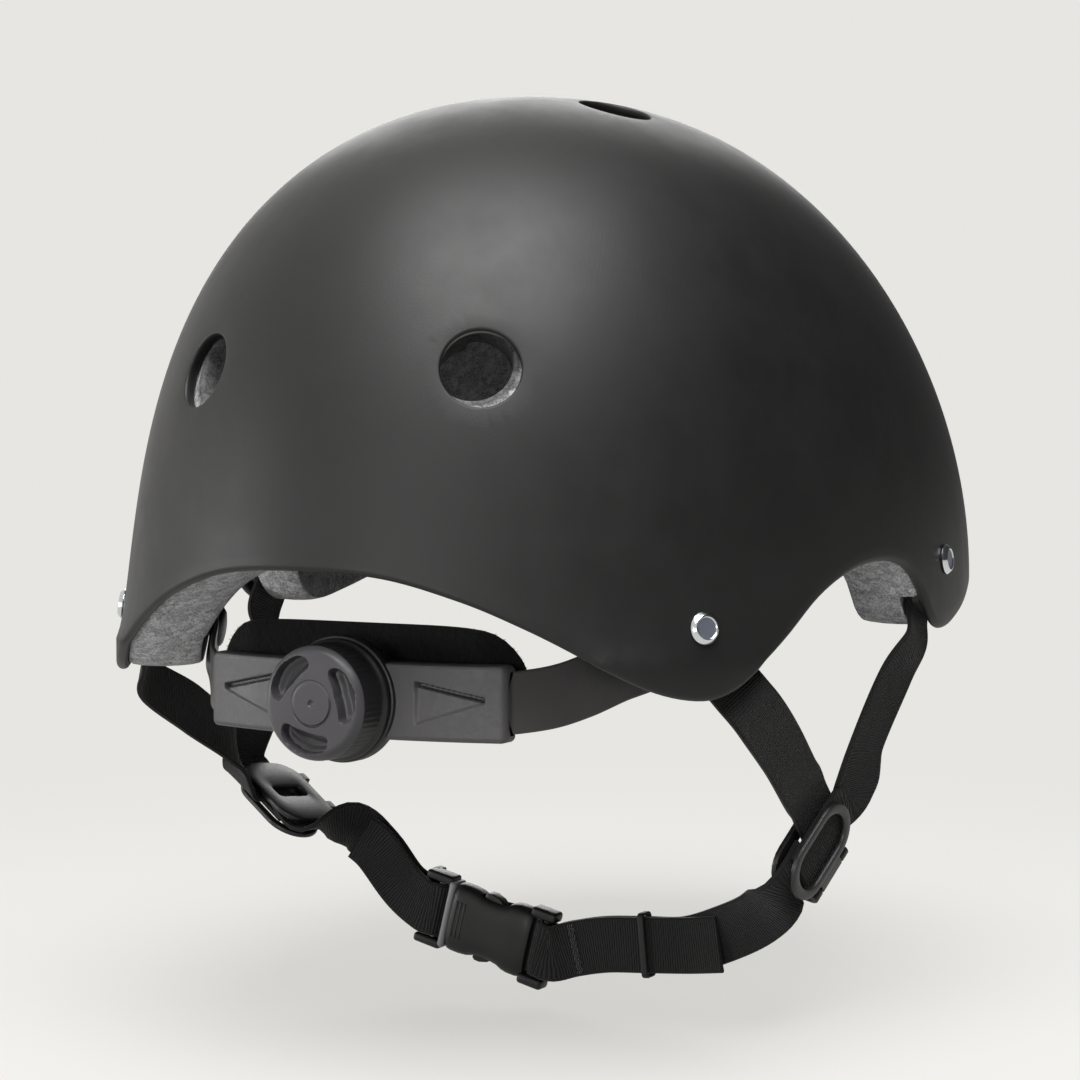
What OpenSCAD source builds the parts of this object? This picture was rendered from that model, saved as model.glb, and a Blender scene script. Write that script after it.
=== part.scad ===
// Round skate helmet with chin straps and a fit dial. Front is -Y, the wearer's left is +X.
// The origin is the middle of the head opening, level with the lowest edge of the shell.

/* [Shell] */
// Width of the shell over the ears
shell_w = 216; // [196:1:236]
// Length of the shell from brow to nape
shell_l = 270.8; // [250:1:296]
// Height from the widest ring to the crown
crown_h = 141.7; // [125:0.1:158]
// Height of the widest ring above the origin
base_z = 10; // [9:0.5:12]
// How square the dome's profile is, 2 is an ellipse
dome_n = 2.17; // [2:0.01:2.4]
// How far the brow swells forward of the middle
brow_swell = 6.2; // [4:0.1:8]
// How far the crown lies behind the middle
crown_back = 6.6; // [4:0.1:9]
// Wall of the hard shell
shell_t = 3; // [2.6:0.1:3.4]
// Diameter of each vent
vent_d = 19; // [15:0.5:20]
// Angle of the rear and brow vents from the middle
vent_phi = 23.8; // [20:0.1:28]
// Height of the rear vents
rear_vent_z = 78.4; // [70:0.1:86]
// Height of the brow vents
brow_vent_z = 92; // [84:1:98]
// Distance of the crown vents from the middle plane
crown_vent_x = 30; // [27:1:34]
// Distance of the rear crown vents behind the origin
crown_vent_back = 22; // [16:1:28]
// Distance of the front crown vents before the origin
crown_vent_front = 34; // [28:1:44]

/* [Liner and pads] */
// Thickness of the foam liner
liner_t = 19; // [17:0.5:20]
// Width of the air channels in the liner
channel_w = 13; // [9:1:15]
// Depth of the air channels in the liner
channel_depth = 7; // [4:0.5:9]
// Thickness of the comfort pads
pad_t = 7; // [5:0.5:8]
// Diameter of the pad fastener discs
disc_d = 14; // [10:1:16]
// Thickness of the pad fastener discs
disc_t = 0.9; // [0.7:0.1:1.2]
// Length of the crown pad
crown_pad_l = 120; // [90:1:130]
// Width of the crown pad
crown_pad_w = 34; // [26:1:36]
// Height of the lower seam of the pads round the head
pad_low = 42; // [38:1:46]
// Width of the pads round the head
pad_w = 22; // [18:1:24]
// How far the liner's bores lie inward of the vents
bore_aside = 2.2; // [0:0.1:3]
// How far the liner's bores lie above the vents
bore_up = 2.6; // [0:0.1:3]

/* [Rivets] */
// Angle of the rear rivets from the middle of the nape
rear_rivet_phi = 51; // [49:0.5:53]
// Height of the rear rivets
rear_rivet_z = 17.5; // [16:0.5:20]
// Angle of the front rivets from the middle of the nape
front_rivet_phi = 95; // [94:0.5:97]
// Height of the front rivets
front_rivet_z = 29.5; // [28:0.5:31]
// Diameter of the rivet heads
rivet_head_d = 7.8; // [6.6:0.1:9]
// Diameter of the rivet shanks
rivet_d = 4; // [3:0.1:4.6]
// Thickness of the strap tabs
tab_t = 1.8; // [1.4:0.1:2.2]
// Thickness of the rivet washers
washer_t = 0.8; // [0.6:0.1:1]

/* [Webbing] */
// Width of the webbing
web_w = 15; // [12:0.5:15.5]
// Thickness of the webbing
web_t = 1.4; // [1.1:0.1:1.5]
// Distance of the strap dividers from the middle plane
divider_x = 81.5; // [80:0.5:83]
// Length of the strap dividers
divider_l = 28; // [26:0.5:30]
// Thickness of the divider's plates
divider_t = 1.6; // [1.2:0.1:2]
// Radius of the divider's hinge pin
divider_pin_r = 0.9; // [0.7:0.05:1.1]
// Length of the rubber keeper along the strap
keeper_l = 2.6; // [2:0.1:5]
// Wall of the rubber keeper
keeper_t = 1.1; // [0.8:0.1:1.6]

/* [Buckle] */
// Width of the buckle
buckle_w = 20; // [19.5:0.5:23]
// Thickness of the buckle
buckle_t = 8; // [7.4:0.1:9]
// Length of the buckle's socket half
socket_l = 25; // [24:0.5:28]
// Radius of the bars that the webbing turns round
bar_r = 1.3; // [1:0.1:1.5]
// Height of the buckle's inner slot
slot_h = 4.4; // [4:0.1:5]

/* [Fit dial] */
// Length of the dial housing
housing_l = 84; // [80:1:92]
// Height of the dial housing
housing_h = 18.5; // [17.5:0.5:20]
// Distance of the housing's outer face behind the origin
housing_y = 109; // [107:0.5:111]
// Radius of the housing's curve
housing_r = 130; // [120:1:150]
// Diameter of the knob's base
knob_d = 29.5; // [28:0.5:32]
// Height of the knob
knob_h = 12; // [10:0.5:14]
// Radius of the pinion's pitch circle
pinion_r = 4.5; // [4.5:0.1:4.6]
// Thickness of each rack and band
band_t = 1.6; // [1.4:0.1:1.7]
// Height of the bands
band_h = 15; // [13.5:0.5:15.5]
// Thickness of the nape pad
nape_pad_t = 7.5; // [5:0.5:8]

/* [Hidden] */
$fn = 48;
fit = 0.3;
running = 0.06;
columns = 90;
rows = 12;
half_w = shell_w / 2;
half_l = shell_l / 2;
liner_out = shell_t + fit;
liner_in = shell_t + liner_t;

// The shell's rim, as angle from the nape and height. It dips into a lobe behind and before each ear.
rim_marks = [
  [0, 31], [12, 29.6], [22, 24.4], [30, 18], [38, 10.4], [45, 3.6], [50, 0.8], [54, 0.9], [58, 5],
  [62, 13], [67, 23], [73, 29.2], [79, 30.8], [84, 28.6], [88, 22.6], [91.5, 15], [95.5, 11.6],
  [102, 14], [113, 20.5], [135, 28], [158, 31], [180, 32]
];

// Dome surface

// How far the ring at a share of the dome's height lies behind the origin
function ring_back(share) =
  crown_back * share * share * (3 - 2 * share) - brow_swell * sin(180 * pow(share, 0.6));

function dome_point(phi, z, inset) =
  let (share = min(1, max(0, (z - base_z) / (crown_h - inset))),
       reach = pow(1 - pow(share, dome_n), 1 / dome_n))
  [(half_w - inset) * reach * sin(phi), (half_l - inset) * reach * cos(phi) + ring_back(share), z];

function dome_normal(phi, z, inset) =
  let (across = dome_point(phi + 0.5, z, inset) - dome_point(phi - 0.5, z, inset),
       rise = dome_point(phi, z + 0.5, inset) - dome_point(phi, z - 0.5, inset),
       out = cross(rise, across))
  out / norm(out);

// Height of the dome over a point near the crown, found in a few steps
function dome_over(x, y, inset, back = crown_back, steps = 4) =
  let (reach = norm([x / (half_w - inset), (y - back) / (half_l - inset)]),
       share = pow(max(0, 1 - pow(reach, dome_n)), 1 / dome_n))
  steps == 0 ? base_z + (crown_h - inset) * share : dome_over(x, y, inset, ring_back(share), steps - 1);

function dome_angle(x, y, z, inset) =
  let (share = (z - base_z) / (crown_h - inset))
  atan2(x / (half_w - inset), (y - ring_back(share)) / (half_l - inset));

function top_z(inset) = base_z + crown_h - inset;

// Height of the rim at an angle, eased through the marks
function rim_at(i) = rim_marks[min(max(i, 0), len(rim_marks) - 1)];
function rim_slope(i) =
  (i <= 0 || i >= len(rim_marks) - 1) ? 0
  : (rim_at(i + 1)[1] - rim_at(i - 1)[1]) / (rim_at(i + 1)[0] - rim_at(i - 1)[0]);
function rim_height(phi) =
  let (turn = ((phi % 360) + 360) % 360,
       side = turn > 180 ? 360 - turn : turn,
       i = max([for (k = [0:len(rim_marks) - 2]) rim_marks[k][0] <= side ? k : 0]),
       a = rim_marks[i],
       b = rim_marks[i + 1],
       gap = b[0] - a[0],
       u = (side - a[0]) / gap)
  (2 * u * u * u - 3 * u * u + 1) * a[1] + (u * u * u - 2 * u * u + u) * gap * rim_slope(i)
  + (3 * u * u - 2 * u * u * u) * b[1] + (u * u * u - u * u) * gap * rim_slope(i + 1);

// Solids made of two grids of points, one over the other

function grid_faces(nu, nv, start, flip) = [
  for (i = [0:nu - 2]) for (j = [0:nv - 2])
    let (a = start + i * nv + j, b = a + 1, c = a + nv + 1, d = a + nv)
    each flip ? [[a, b, c], [a, c, d]] : [[a, c, b], [a, d, c]]
];

function side_faces(ring, shift) = [
  for (k = [0:len(ring) - 1])
    let (a = ring[k], b = ring[(k + 1) % len(ring)])
    each [[a, b, b + shift], [a, b + shift, a + shift]]
];

module plate_between(upper, lower, nu, nv) {
  n = nu * nv;
  edge = concat(
    [for (j = [0:nv - 2]) j],
    [for (i = [0:nu - 2]) i * nv + nv - 1],
    [for (j = [nv - 1:-1:1]) (nu - 1) * nv + j],
    [for (i = [nu - 1:-1:1]) i * nv]);
  polyhedron(
    points = concat(upper, lower),
    faces = concat(grid_faces(nu, nv, 0, false), grid_faces(nu, nv, n, true), side_faces(edge, n)));
}

// A layer of the dome from the rim to the crown
module dome_layer(out_inset, in_inset, rim_shift) {
  function ring_points(inset) = [
    for (i = [0:rows - 1]) for (j = [0:columns - 1])
      let (phi = 360 * j / columns,
           low = rim_height(phi) + rim_shift,
           z = low + (top_z(inset) - low) * sin(90 * i / rows))
      dome_point(phi, z, inset)
  ];
  n = rows * columns;
  crown = function(inset) [0, crown_back, top_z(inset)];
  points = concat(ring_points(out_inset), [crown(out_inset)], ring_points(in_inset), [crown(in_inset)]);
  second = n + 1;
  walls = [
    for (i = [0:rows - 2]) for (j = [0:columns - 1])
      let (a = i * columns + j, b = i * columns + (j + 1) % columns, c = b + columns, d = a + columns)
      each [[a, b, c], [a, c, d], [second + a, second + c, second + b], [second + a, second + d, second + c]]
  ];
  caps = [
    for (j = [0:columns - 1])
      let (a = (rows - 1) * columns + j, b = (rows - 1) * columns + (j + 1) % columns)
      each [[a, b, n], [second + a, second + n, second + b]]
  ];
  rim = [
    for (j = [0:columns - 1])
      let (a = j, b = (j + 1) % columns)
      each [[a, second + b, b], [a, second + a, second + b]]
  ];
  polyhedron(points = points, faces = concat(walls, caps, rim));
}

// Placing

module facing(at, dir) {
  translate(at) rotate([0, acos(dir[2] / norm(dir)), atan2(dir[1], dir[0])]) children();
}

function unit(v) = v / norm(v);

// Carries X to side, Y to down and Z to out
module framed(at, side, down, out) {
  multmatrix([
    [side[0], down[0], out[0], at[0]],
    [side[1], down[1], out[1], at[1]],
    [side[2], down[2], out[2], at[2]],
    [0, 0, 0, 1]
  ]) children();
}

module both_sides() {
  children();
  mirror([1, 0, 0]) children();
}

// Vents, as pairs of angle and height on the shell
function over_crown(x, y) =
  let (z = dome_over(x, y, 0)) [dome_angle(x, y, z, 0), z];
vents = [
  [vent_phi, rear_vent_z], over_crown(crown_vent_x, crown_vent_back),
  over_crown(crown_vent_x, -crown_vent_front), [180 - vent_phi, brow_vent_z]
];

module vent_bores(d, depth, aside = 0, up = 0) {
  both_sides() for (v = vents)
    facing(dome_point(v[0], v[1], 0) + [-aside, 0, up], dome_normal(v[0], v[1], 0))
      translate([0, 0, -depth]) cylinder(d = d, h = depth + 4);
}

// Rivet stations on the wearer's left: point on the shell, outward direction, and the way the strap runs
function station(phi, z, way) =
  let (out = dome_normal(phi, z, 0),
       down = unit(way - (way * out) * out))
  [dome_point(phi, z, 0), cross(down, out), down, out];
rear_station = station(rear_rivet_phi, rear_rivet_z, [4.5, -10.5, -13.5]);
front_station = station(front_rivet_phi, front_rivet_z, [0, 4.5, -13]);
stations = [rear_station, front_station];

module at_station(s) {
  framed(s[0], s[1], s[2], s[3]) children();
}

tab_w = web_w + 2;
tab_up = 5;
tab_down = 14;
strap_start = 8;
tab_top = -shell_t - 1.2;
tab_low = tab_top - tab_t;
washer_low = tab_low - 0.1 - washer_t;
strap_depth = -tab_low + fit + web_t / 2;
pocket_depth = strap_depth + web_t / 2 + 1.2;

module outer_shell() {
  color([0.2, 0.2, 0.21])
  difference() {
    dome_layer(0, shell_t, 0);
    vent_bores(vent_d, shell_t + 12);
    both_sides() for (s = stations)
      at_station(s) translate([0, 0, -12]) cylinder(d = rivet_d + 0.2, h = 20);
  }
}

// An air channel, cut along the liner's inner face on one side
module air_channel(x) {
  deep = liner_in - channel_depth;
  steps = 14;
  first = -88;
  last = 96;
  ring = [[-0.5, 0], [-0.5, 2.4], [0.5, 2.4], [0.5, 0]];
  points = [
    for (i = [0:steps]) for (p = ring)
      let (y = first + (last - first) * i / steps,
           z = dome_over(x, y, deep),
           phi = dome_angle(x, y, z, deep),
           out = dome_normal(phi, z, deep),
           side = unit(cross([0, 1, 0], out)))
      [x, y, z] + side * p[0] * channel_w - out * p[1] * channel_depth
  ];
  tube = [
    for (i = [0:steps - 1]) for (k = [0:3])
      let (a = i * 4 + k, b = i * 4 + (k + 1) % 4)
      each [[a, b, b + 4], [a, b + 4, a + 4]]
  ];
  last_ring = steps * 4;
  polyhedron(points = points, faces = concat(tube, [[2, 1, 0], [3, 2, 0]],
    [[last_ring, last_ring + 1, last_ring + 2], [last_ring, last_ring + 2, last_ring + 3]]));
}

// A band lies on the liner along a chord of its height. The stud goes through it at plug_phi.
function chord_up(phi, z) =
  unit(dome_point(phi, z + band_h / 2, liner_in) - dome_point(phi, z - band_h / 2, liner_in));
function chord_mid(phi, z) =
  (dome_point(phi, z + band_h / 2, liner_in) + dome_point(phi, z - band_h / 2, liner_in)) / 2;
function chord_out(phi, z) = unit(cross(chord_up(phi, z), chord_mid(phi + 0.5, z) - chord_mid(phi - 0.5, z)));
plug_phi = 55;
plug_z = 11;
plug_at = chord_mid(plug_phi, plug_z);
plug_out = chord_out(plug_phi, plug_z);
plug_r = 2.4;
plug_deep = 12;

module foam_liner() {
  color([0.42, 0.42, 0.42])
  difference() {
    dome_layer(liner_out, liner_in, 0.6);
    vent_bores(vent_d, liner_in + 14, bore_aside, bore_up);
    both_sides() air_channel(crown_vent_x);
    both_sides() for (s = stations)
      at_station(s) translate([-tab_w / 2 - 1.5, -tab_up - 3, -pocket_depth])
        cube([tab_w + 3, 60, pocket_depth + 3]);
    both_sides() facing(plug_at, plug_out)
      translate([0, 0, -4]) cylinder(r = plug_r + 0.1, h = plug_deep + 4.4);
  }
}

// Comfort pads. Each lies on its fastener discs, thick in the middle and drawn in at the seams.
disc_lift = 0.6;
front_spread = 32;
side_phi = 89;
side_spread = 23;
rear_spread = 30;
pad_in = liner_in + disc_lift + disc_t + fit;
function swell(u) = pow(max(0, 1 - pow(abs(2 * u - 1), 3)), 0.5);
// A sewn channel is a dip across the pad
function channel_dip(u, at) = 1 - 0.4 * exp(-pow((u - at) / 0.035, 2));

// A pad that lies round the inside, about an angle
module ring_pad(phi_mid, spread, width, channels) {
  nu = 25;
  nv = 7;
  phi_a = phi_mid - spread;
  phi_b = phi_mid + spread;
  z_a = pad_low;
  z_b = pad_low + width;
  function spot(i, j, inset) =
    let (u = i / (nu - 1), v = j / (nv - 1),
         pull = 0.06 * (1 - swell(u)),
         z = z_a + (z_b - z_a) * (v * (1 - 2 * pull) + pull))
    dome_point(phi_a + (phi_b - phi_a) * u, z, inset);
  upper = [for (i = [0:nu - 1]) for (j = [0:nv - 1]) spot(i, j, pad_in)];
  lower = [
    for (i = [0:nu - 1]) for (j = [0:nv - 1])
      let (u = i / (nu - 1), v = j / (nv - 1),
           dips = channels == 1 ? channel_dip(u, 0.5) : channel_dip(u, 1 / 3) * channel_dip(u, 2 / 3))
      spot(i, j, pad_in + 1.2 + (pad_t - 1.2) * swell(u) * swell(v) * dips)
  ];
  plate_between(upper, lower, nu, nv);
}

module crown_pad() {
  nu = 25;
  nv = 9;
  function spot(i, j, deep) =
    let (u = 2 * i / (nu - 1) - 1, v = 2 * j / (nv - 1) - 1,
         y = crown_back + u * crown_pad_l / 2,
         x = v * crown_pad_w / 2 * sqrt(1 - 0.72 * pow(abs(u), 4)),
         inset = pad_in + deep)
    [x, y, dome_over(x, y, inset)];
  upper = [for (i = [0:nu - 1]) for (j = [0:nv - 1]) spot(i, j, 0)];
  lower = [
    for (i = [0:nu - 1]) for (j = [0:nv - 1])
      let (u = i / (nu - 1), v = j / (nv - 1))
      spot(i, j, 1.2 + (pad_t - 1.2) * swell(u) * swell(v) * channel_dip(u, 1 / 3) * channel_dip(u, 2 / 3))
  ];
  color([0.12, 0.12, 0.13]) plate_between(upper, lower, nu, nv);
}

module front_pad() {
  color([0.12, 0.12, 0.13]) ring_pad(180, front_spread, pad_w + 2, 2);
}

module side_pad_left() {
  color([0.12, 0.12, 0.13]) ring_pad(side_phi, side_spread, pad_w, 1);
}

module side_pad_right() {
  color([0.12, 0.12, 0.13]) ring_pad(-side_phi, side_spread, pad_w, 1);
}

module rear_pad() {
  color([0.12, 0.12, 0.13]) ring_pad(0, rear_spread, pad_w, 2);
}

// Hook and loop discs between the pads and the liner
disc_angles = [
  180 - 20, 180 + 20, side_phi - 9, side_phi + 9, -side_phi - 9, -side_phi + 9, -18, 18
];

module pad_fasteners() {
  color([0.3, 0.3, 0.3]) {
    for (phi = disc_angles) {
      mid = pad_low + pad_w / 2;
      facing(dome_point(phi, mid, liner_in + disc_lift), dome_normal(phi, mid, liner_in))
        translate([0, 0, -disc_t]) cylinder(d = disc_d, h = disc_t);
    }
    for (end = [-1, 1]) {
      y = crown_back + end * crown_pad_l / 3;
      z = dome_over(0, y, liner_in);
      phi = dome_angle(0, y, z, liner_in);
      facing([0, y, z], dome_normal(phi, z, liner_in))
        translate([0, 0, -disc_t - disc_lift]) cylinder(d = disc_d, h = disc_t);
    }
  }
}

// Rivets, washers and tabs
module strap_rivets() {
  head = rivet_head_d / 2;
  shank = rivet_d / 2;
  tail = washer_low - 0.1;
  color([0.8, 0.81, 0.83])
  both_sides() for (s = stations)
    at_station(s) rotate_extrude()
      polygon([
        [0, tail - 1.1], [shank * 1.5, tail - 1.1], [shank * 1.6, tail - 0.5], [shank * 1.6, tail],
        [shank, tail], [shank, 0.15], [head, 0.15], [head, 0.55], [head - 0.9, 1.5],
        [head - 1.3, 1.6], [head - 1.6, 1.35], [0, 1.35]
      ]);
}

module rivet_washers() {
  color([0.6, 0.6, 0.62])
  both_sides() for (s = stations)
    at_station(s) translate([0, 0, washer_low]) difference() {
      cylinder(d = rivet_d + 6, h = washer_t);
      translate([0, 0, -1]) cylinder(d = rivet_d + 0.1, h = washer_t + 2);
    }
}

module rounded_plate(l, w, t, r) {
  linear_extrude(t) {
    square([l, w - 2 * r], center = true);
    square([l - 2 * r, w], center = true);
    for (x = [-1, 1]) for (y = [-1, 1])
      translate([x * (l / 2 - r), y * (w / 2 - r)]) circle(r);
  }
}

module strap_tabs() {
  length = tab_up + tab_down;
  color([0.1, 0.1, 0.1])
  both_sides() for (s = stations)
    at_station(s) translate([0, 0, tab_low]) difference() {
      translate([0, length / 2 - tab_up, 0]) rounded_plate(tab_w, length, tab_t, 3);
      translate([0, 0, -1]) cylinder(d = rivet_d + 0.1, h = tab_t + 2);
    }
}

// Webbing, swept as a flat band along a route. Each mark holds a place and the way the width points.
function eased(a, b, c, d, u) =
  0.5 * ((2 * b) + (c - a) * u + (2 * a - 5 * b + 4 * c - d) * u * u
  + (3 * b - a - 3 * c + d) * u * u * u);
function mark_at(route, i) = route[min(max(i, 0), len(route) - 1)];
function route_step(route, t) =
  let (i = min(floor(t), len(route) - 2), u = t - i)
  [for (k = [0, 1]) eased(mark_at(route, i - 1)[k], mark_at(route, i)[k],
    mark_at(route, i + 1)[k], mark_at(route, i + 2)[k], u)];

module webbing(route, w, t, parts = 4) {
  n = (len(route) - 1) * parts;
  rings = [
    for (i = [0:n])
      let (here = route_step(route, i / parts),
           before = route_step(route, max(0, i - 0.5) / parts),
           after = route_step(route, min(n, i + 0.5) / parts),
           along = unit(after[0] - before[0]),
           side = unit(here[1] - (here[1] * along) * along),
           out = cross(along, side))
      [for (p = [[-1, -1], [1, -1], [1, 1], [-1, 1]])
        here[0] + side * p[0] * w / 2 + out * p[1] * t / 2]
  ];
  points = [for (r = rings) each r];
  tube = [
    for (i = [0:n - 1]) for (k = [0:3])
      let (a = i * 4 + k, b = i * 4 + (k + 1) % 4)
      each [[a, b + 4, b], [a, a + 4, b + 4]]
  ];
  last = n * 4;
  polyhedron(points = points, faces = concat(tube, [[0, 1, 2], [0, 2, 3]],
    [[last + 2, last + 1, last], [last + 3, last + 2, last]]));
}

// Each strap divider has a place, an outward face, a length that points up to the front strap, and a
// span across it. The right one is drawn on the left and mirrored. The buckle's weight turns them apart.
function divider_pose(at, out, up) =
  let (face = unit(out), rise = unit(up - (up * face) * face)) [at, face, rise, cross(face, rise)];
pose_left = divider_pose([divider_x, 11, -43], [0.5, -0.05, -0.86], [0.84, -0.26, 0.46]);
pose_right = divider_pose([divider_x, 11, -44.8], [0.97, 0.156, -0.187], [0.244, -0.656, 0.715]);
function in_divider(pose, up, across, out) = pose[0] + up * pose[2] + across * pose[3] + out * pose[1];

function from_station(s, run) = s[0] + run * s[2] - strap_depth * s[3];
divider_w = web_w + 4;
under = -0.75;
over = 0.95;

// Each route starts on its tab and ends in the divider, over the marks between
function rear_route(pose, marks) = concat(
  [for (run = [strap_start, 17, 27]) [from_station(rear_station, run), rear_station[1]]],
  marks,
  [for (across = [-divider_w / 2 - 1.5, -4, 3]) [in_divider(pose, 6.6, across, under), pose[2]]]);
function front_route(pose, marks) = concat(
  [for (run = [strap_start, 15, 22]) [from_station(front_station, run), front_station[1]]],
  marks,
  [for (up = [divider_l / 2, 4, -8]) [in_divider(pose, up, 0, over), pose[3]]]);

rear_at = rear_station[0];
front_at = front_station[0];
rear_marks_left = [
  [rear_at + [4.6, -36, -31.5], [0.1, -0.78, 0.6]], [[divider_x + 5.5, 29, -25], [0.4, -0.62, 0.65]],
  [in_divider(pose_left, 7, -15, -4.4), pose_left[2]]
];
rear_marks_right = [
  [rear_at + [4.1, -36, -32], [0.3, -0.67, 0.68]], [[divider_x + 4, 29, -25], [0.26, -0.66, 0.7]],
  [in_divider(pose_right, 6, -17, 0.3), pose_right[2]]
];
front_marks_left = [
  [front_at + [-7.9, 8.4, -29.5], [0, -0.95, -0.25]], [front_at + [-9.4, 12.4, -44.5], [-0.1, -0.97, -0.15]],
  [in_divider(pose_left, 22.5, 0, -2), pose_left[3]], [in_divider(pose_left, 18, 0, 0.4), pose_left[3]]
];
front_marks_right = [
  [front_at + [-8.5, 13.6, -30.5], [0.15, -0.95, -0.3]], [front_at + [-14.5, 18.6, -48.5], [0.1, -0.9, -0.4]],
  [in_divider(pose_right, 19, 0, 1.8), pose_right[3]]
];

module strap_rear_left() {
  color([0.09, 0.09, 0.09]) webbing(rear_route(pose_left, rear_marks_left), web_w, web_t);
}

module strap_rear_right() {
  color([0.09, 0.09, 0.09]) mirror([1, 0, 0])
    webbing(rear_route(pose_right, rear_marks_right), web_w, web_t);
}

module strap_front_left() {
  color([0.09, 0.09, 0.09]) webbing(front_route(pose_left, front_marks_left), web_w, web_t);
}

module strap_front_right() {
  color([0.09, 0.09, 0.09]) mirror([1, 0, 0])
    webbing(front_route(pose_right, front_marks_right), web_w, web_t);
}

// Strap dividers, drawn with length along Y, width along X and the face up
divider_floor = under - web_t / 2 - 0.15;
divider_roof = over + web_t / 2 + 0.3;
hinge_x = divider_w / 2 + 1;
hinge_z = divider_roof - 0.8;
hinge_r = divider_pin_r + 0.9;
knuckle_l = 10;
ear_l = 3.4;
ear_from = knuckle_l / 2 + 0.2;

module in_divider_frame(pose) {
  framed(pose[0], pose[3], pose[2], pose[1]) children();
}

module divider(pose) {
  floor_low = divider_floor - divider_t;
  in_divider_frame(pose) difference() {
    union() {
      translate([0.5, 0, floor_low]) rounded_plate(divider_w + 1, divider_l, divider_t, 4);
      for (end = [-1, 1]) {
        y0 = end > 0 ? ear_from : -ear_from - ear_l;
        translate([hinge_x, y0, hinge_z]) rotate([-90, 0, 0]) cylinder(r = hinge_r, h = ear_l);
        translate([hinge_x - 0.9, y0, floor_low]) cube([hinge_r + 0.9, ear_l, hinge_z - floor_low]);
        translate([hinge_x - hinge_r, y0, floor_low]) cube([2 * hinge_r, ear_l, divider_t]);
      }
    }
    translate([hinge_x, -divider_l, hinge_z]) rotate([-90, 0, 0])
      cylinder(r = divider_pin_r + running, h = 2 * divider_l);
    translate([0, -1.5, floor_low - 1]) rounded_plate(web_w - 4, 5, divider_t + 2, 1.5);
  }
}

module divider_lid(pose) {
  reach = divider_w / 2 - 0.8;
  in_divider_frame(pose) {
    difference() {
      translate([-0.6, 0, divider_roof]) rounded_plate(2 * reach - 0.4, divider_l, divider_t, 6);
      translate([-0.6, 0, divider_roof - 1]) rounded_plate(2 * reach - 5.4, divider_l - 6, divider_t + 2, 4);
    }
    translate([reach - 2.4, -knuckle_l / 2, divider_roof])
      cube([hinge_x - reach + 2.4, knuckle_l, divider_t - 0.6]);
    translate([hinge_x, -knuckle_l / 2, hinge_z]) rotate([-90, 0, 0]) cylinder(r = hinge_r, h = knuckle_l);
    translate([hinge_x, -ear_from - ear_l, hinge_z]) rotate([-90, 0, 0])
      cylinder(r = divider_pin_r, h = 2 * (ear_from + ear_l));
  }
}

module divider_left() {
  color([0.13, 0.13, 0.13]) divider(pose_left);
}

module divider_right() {
  color([0.13, 0.13, 0.13]) mirror([1, 0, 0]) divider(pose_right);
}

module divider_lid_left() {
  color([0.15, 0.15, 0.15]) divider_lid(pose_left);
}

module divider_lid_right() {
  color([0.15, 0.15, 0.15]) mirror([1, 0, 0]) divider_lid(pose_right);
}

// The buckle lies with its length along buckle_way, which points to the wearer's left and up a little
buckle_at = [17, 8, -74.2];
buckle_way = [cos(14), 0, sin(14)];
buckle_rise = [-sin(14), 0, cos(14)];
socket_end = socket_l - 15;
turn_r = bar_r + 0.25 + web_t / 2;
male_from = socket_end + 0.3;
block_l = 2;
male_bar = male_from + block_l + turn_r + web_t / 2 + 0.3;
female_bar = -15 - turn_r - web_t / 2 - 0.3;
function in_buckle(run) = buckle_at + run * buckle_way;

// Length along X, width along Y, thickness along Z
module in_buckle_frame() {
  framed(buckle_at, buckle_way, buckle_rise, [0, -1, 0]) children();
}

layer = web_t / 2 + 0.3;

// Chin straps. Each turns round its bar and lies back on itself, a near layer and a far one.
down = [0, 0, -1];
function turn(at, way) = concat(
  [[at + 4 * way - [0, turn_r, 0], -buckle_rise]],
  [for (a = [0:30:180]) [at - turn_r * (sin(a) * way + cos(a) * [0, 1, 0]), -buckle_rise]],
  [[at + 4 * way + [0, turn_r, 0], -buckle_rise]]);
function shifted(mark, back) = [mark[0] + [0, back, 0], mark[1]];
function mirrored(p) = [-p[0], p[1], p[2]];

right_bar = in_buckle(female_bar);
right_marks = [
  [right_bar + [-10.5, 0.3, 1], down], [right_bar + [-20.3, 0.7, 3.1], down],
  [right_bar + [-32.3, 1.1, 4.2], down], [right_bar + [-44.3, 1.5, 5.3], down]
];
keeper_mark = 2;
chin_right_route = concat(
  [for (up = [-3, -divider_l / 2])
    [mirrored(in_divider(pose_right, up, 0, under)), mirrored(pose_right[3])]],
  [[mirrored(in_divider(pose_right, -18, 1, -2.6)), mirrored(pose_right[3])],
    [[12.5 - divider_x, 15.5, -62.5], [-0.15, -0.45, -0.87]],
    [[23.5 - divider_x, 11.5, -68.4], [-0.1, -0.2, -0.97]]],
  [for (i = [3:-1:0]) shifted(right_marks[i], -layer)],
  turn(right_bar, -buckle_way),
  [for (i = [0:3]) shifted(right_marks[i], layer)],
  [[right_bar + [-55.3, 3.6 + layer, 7], down]]
);

module chin_strap_right() {
  color([0.09, 0.09, 0.09]) webbing(chin_right_route, web_w, web_t, 2);
}

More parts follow.
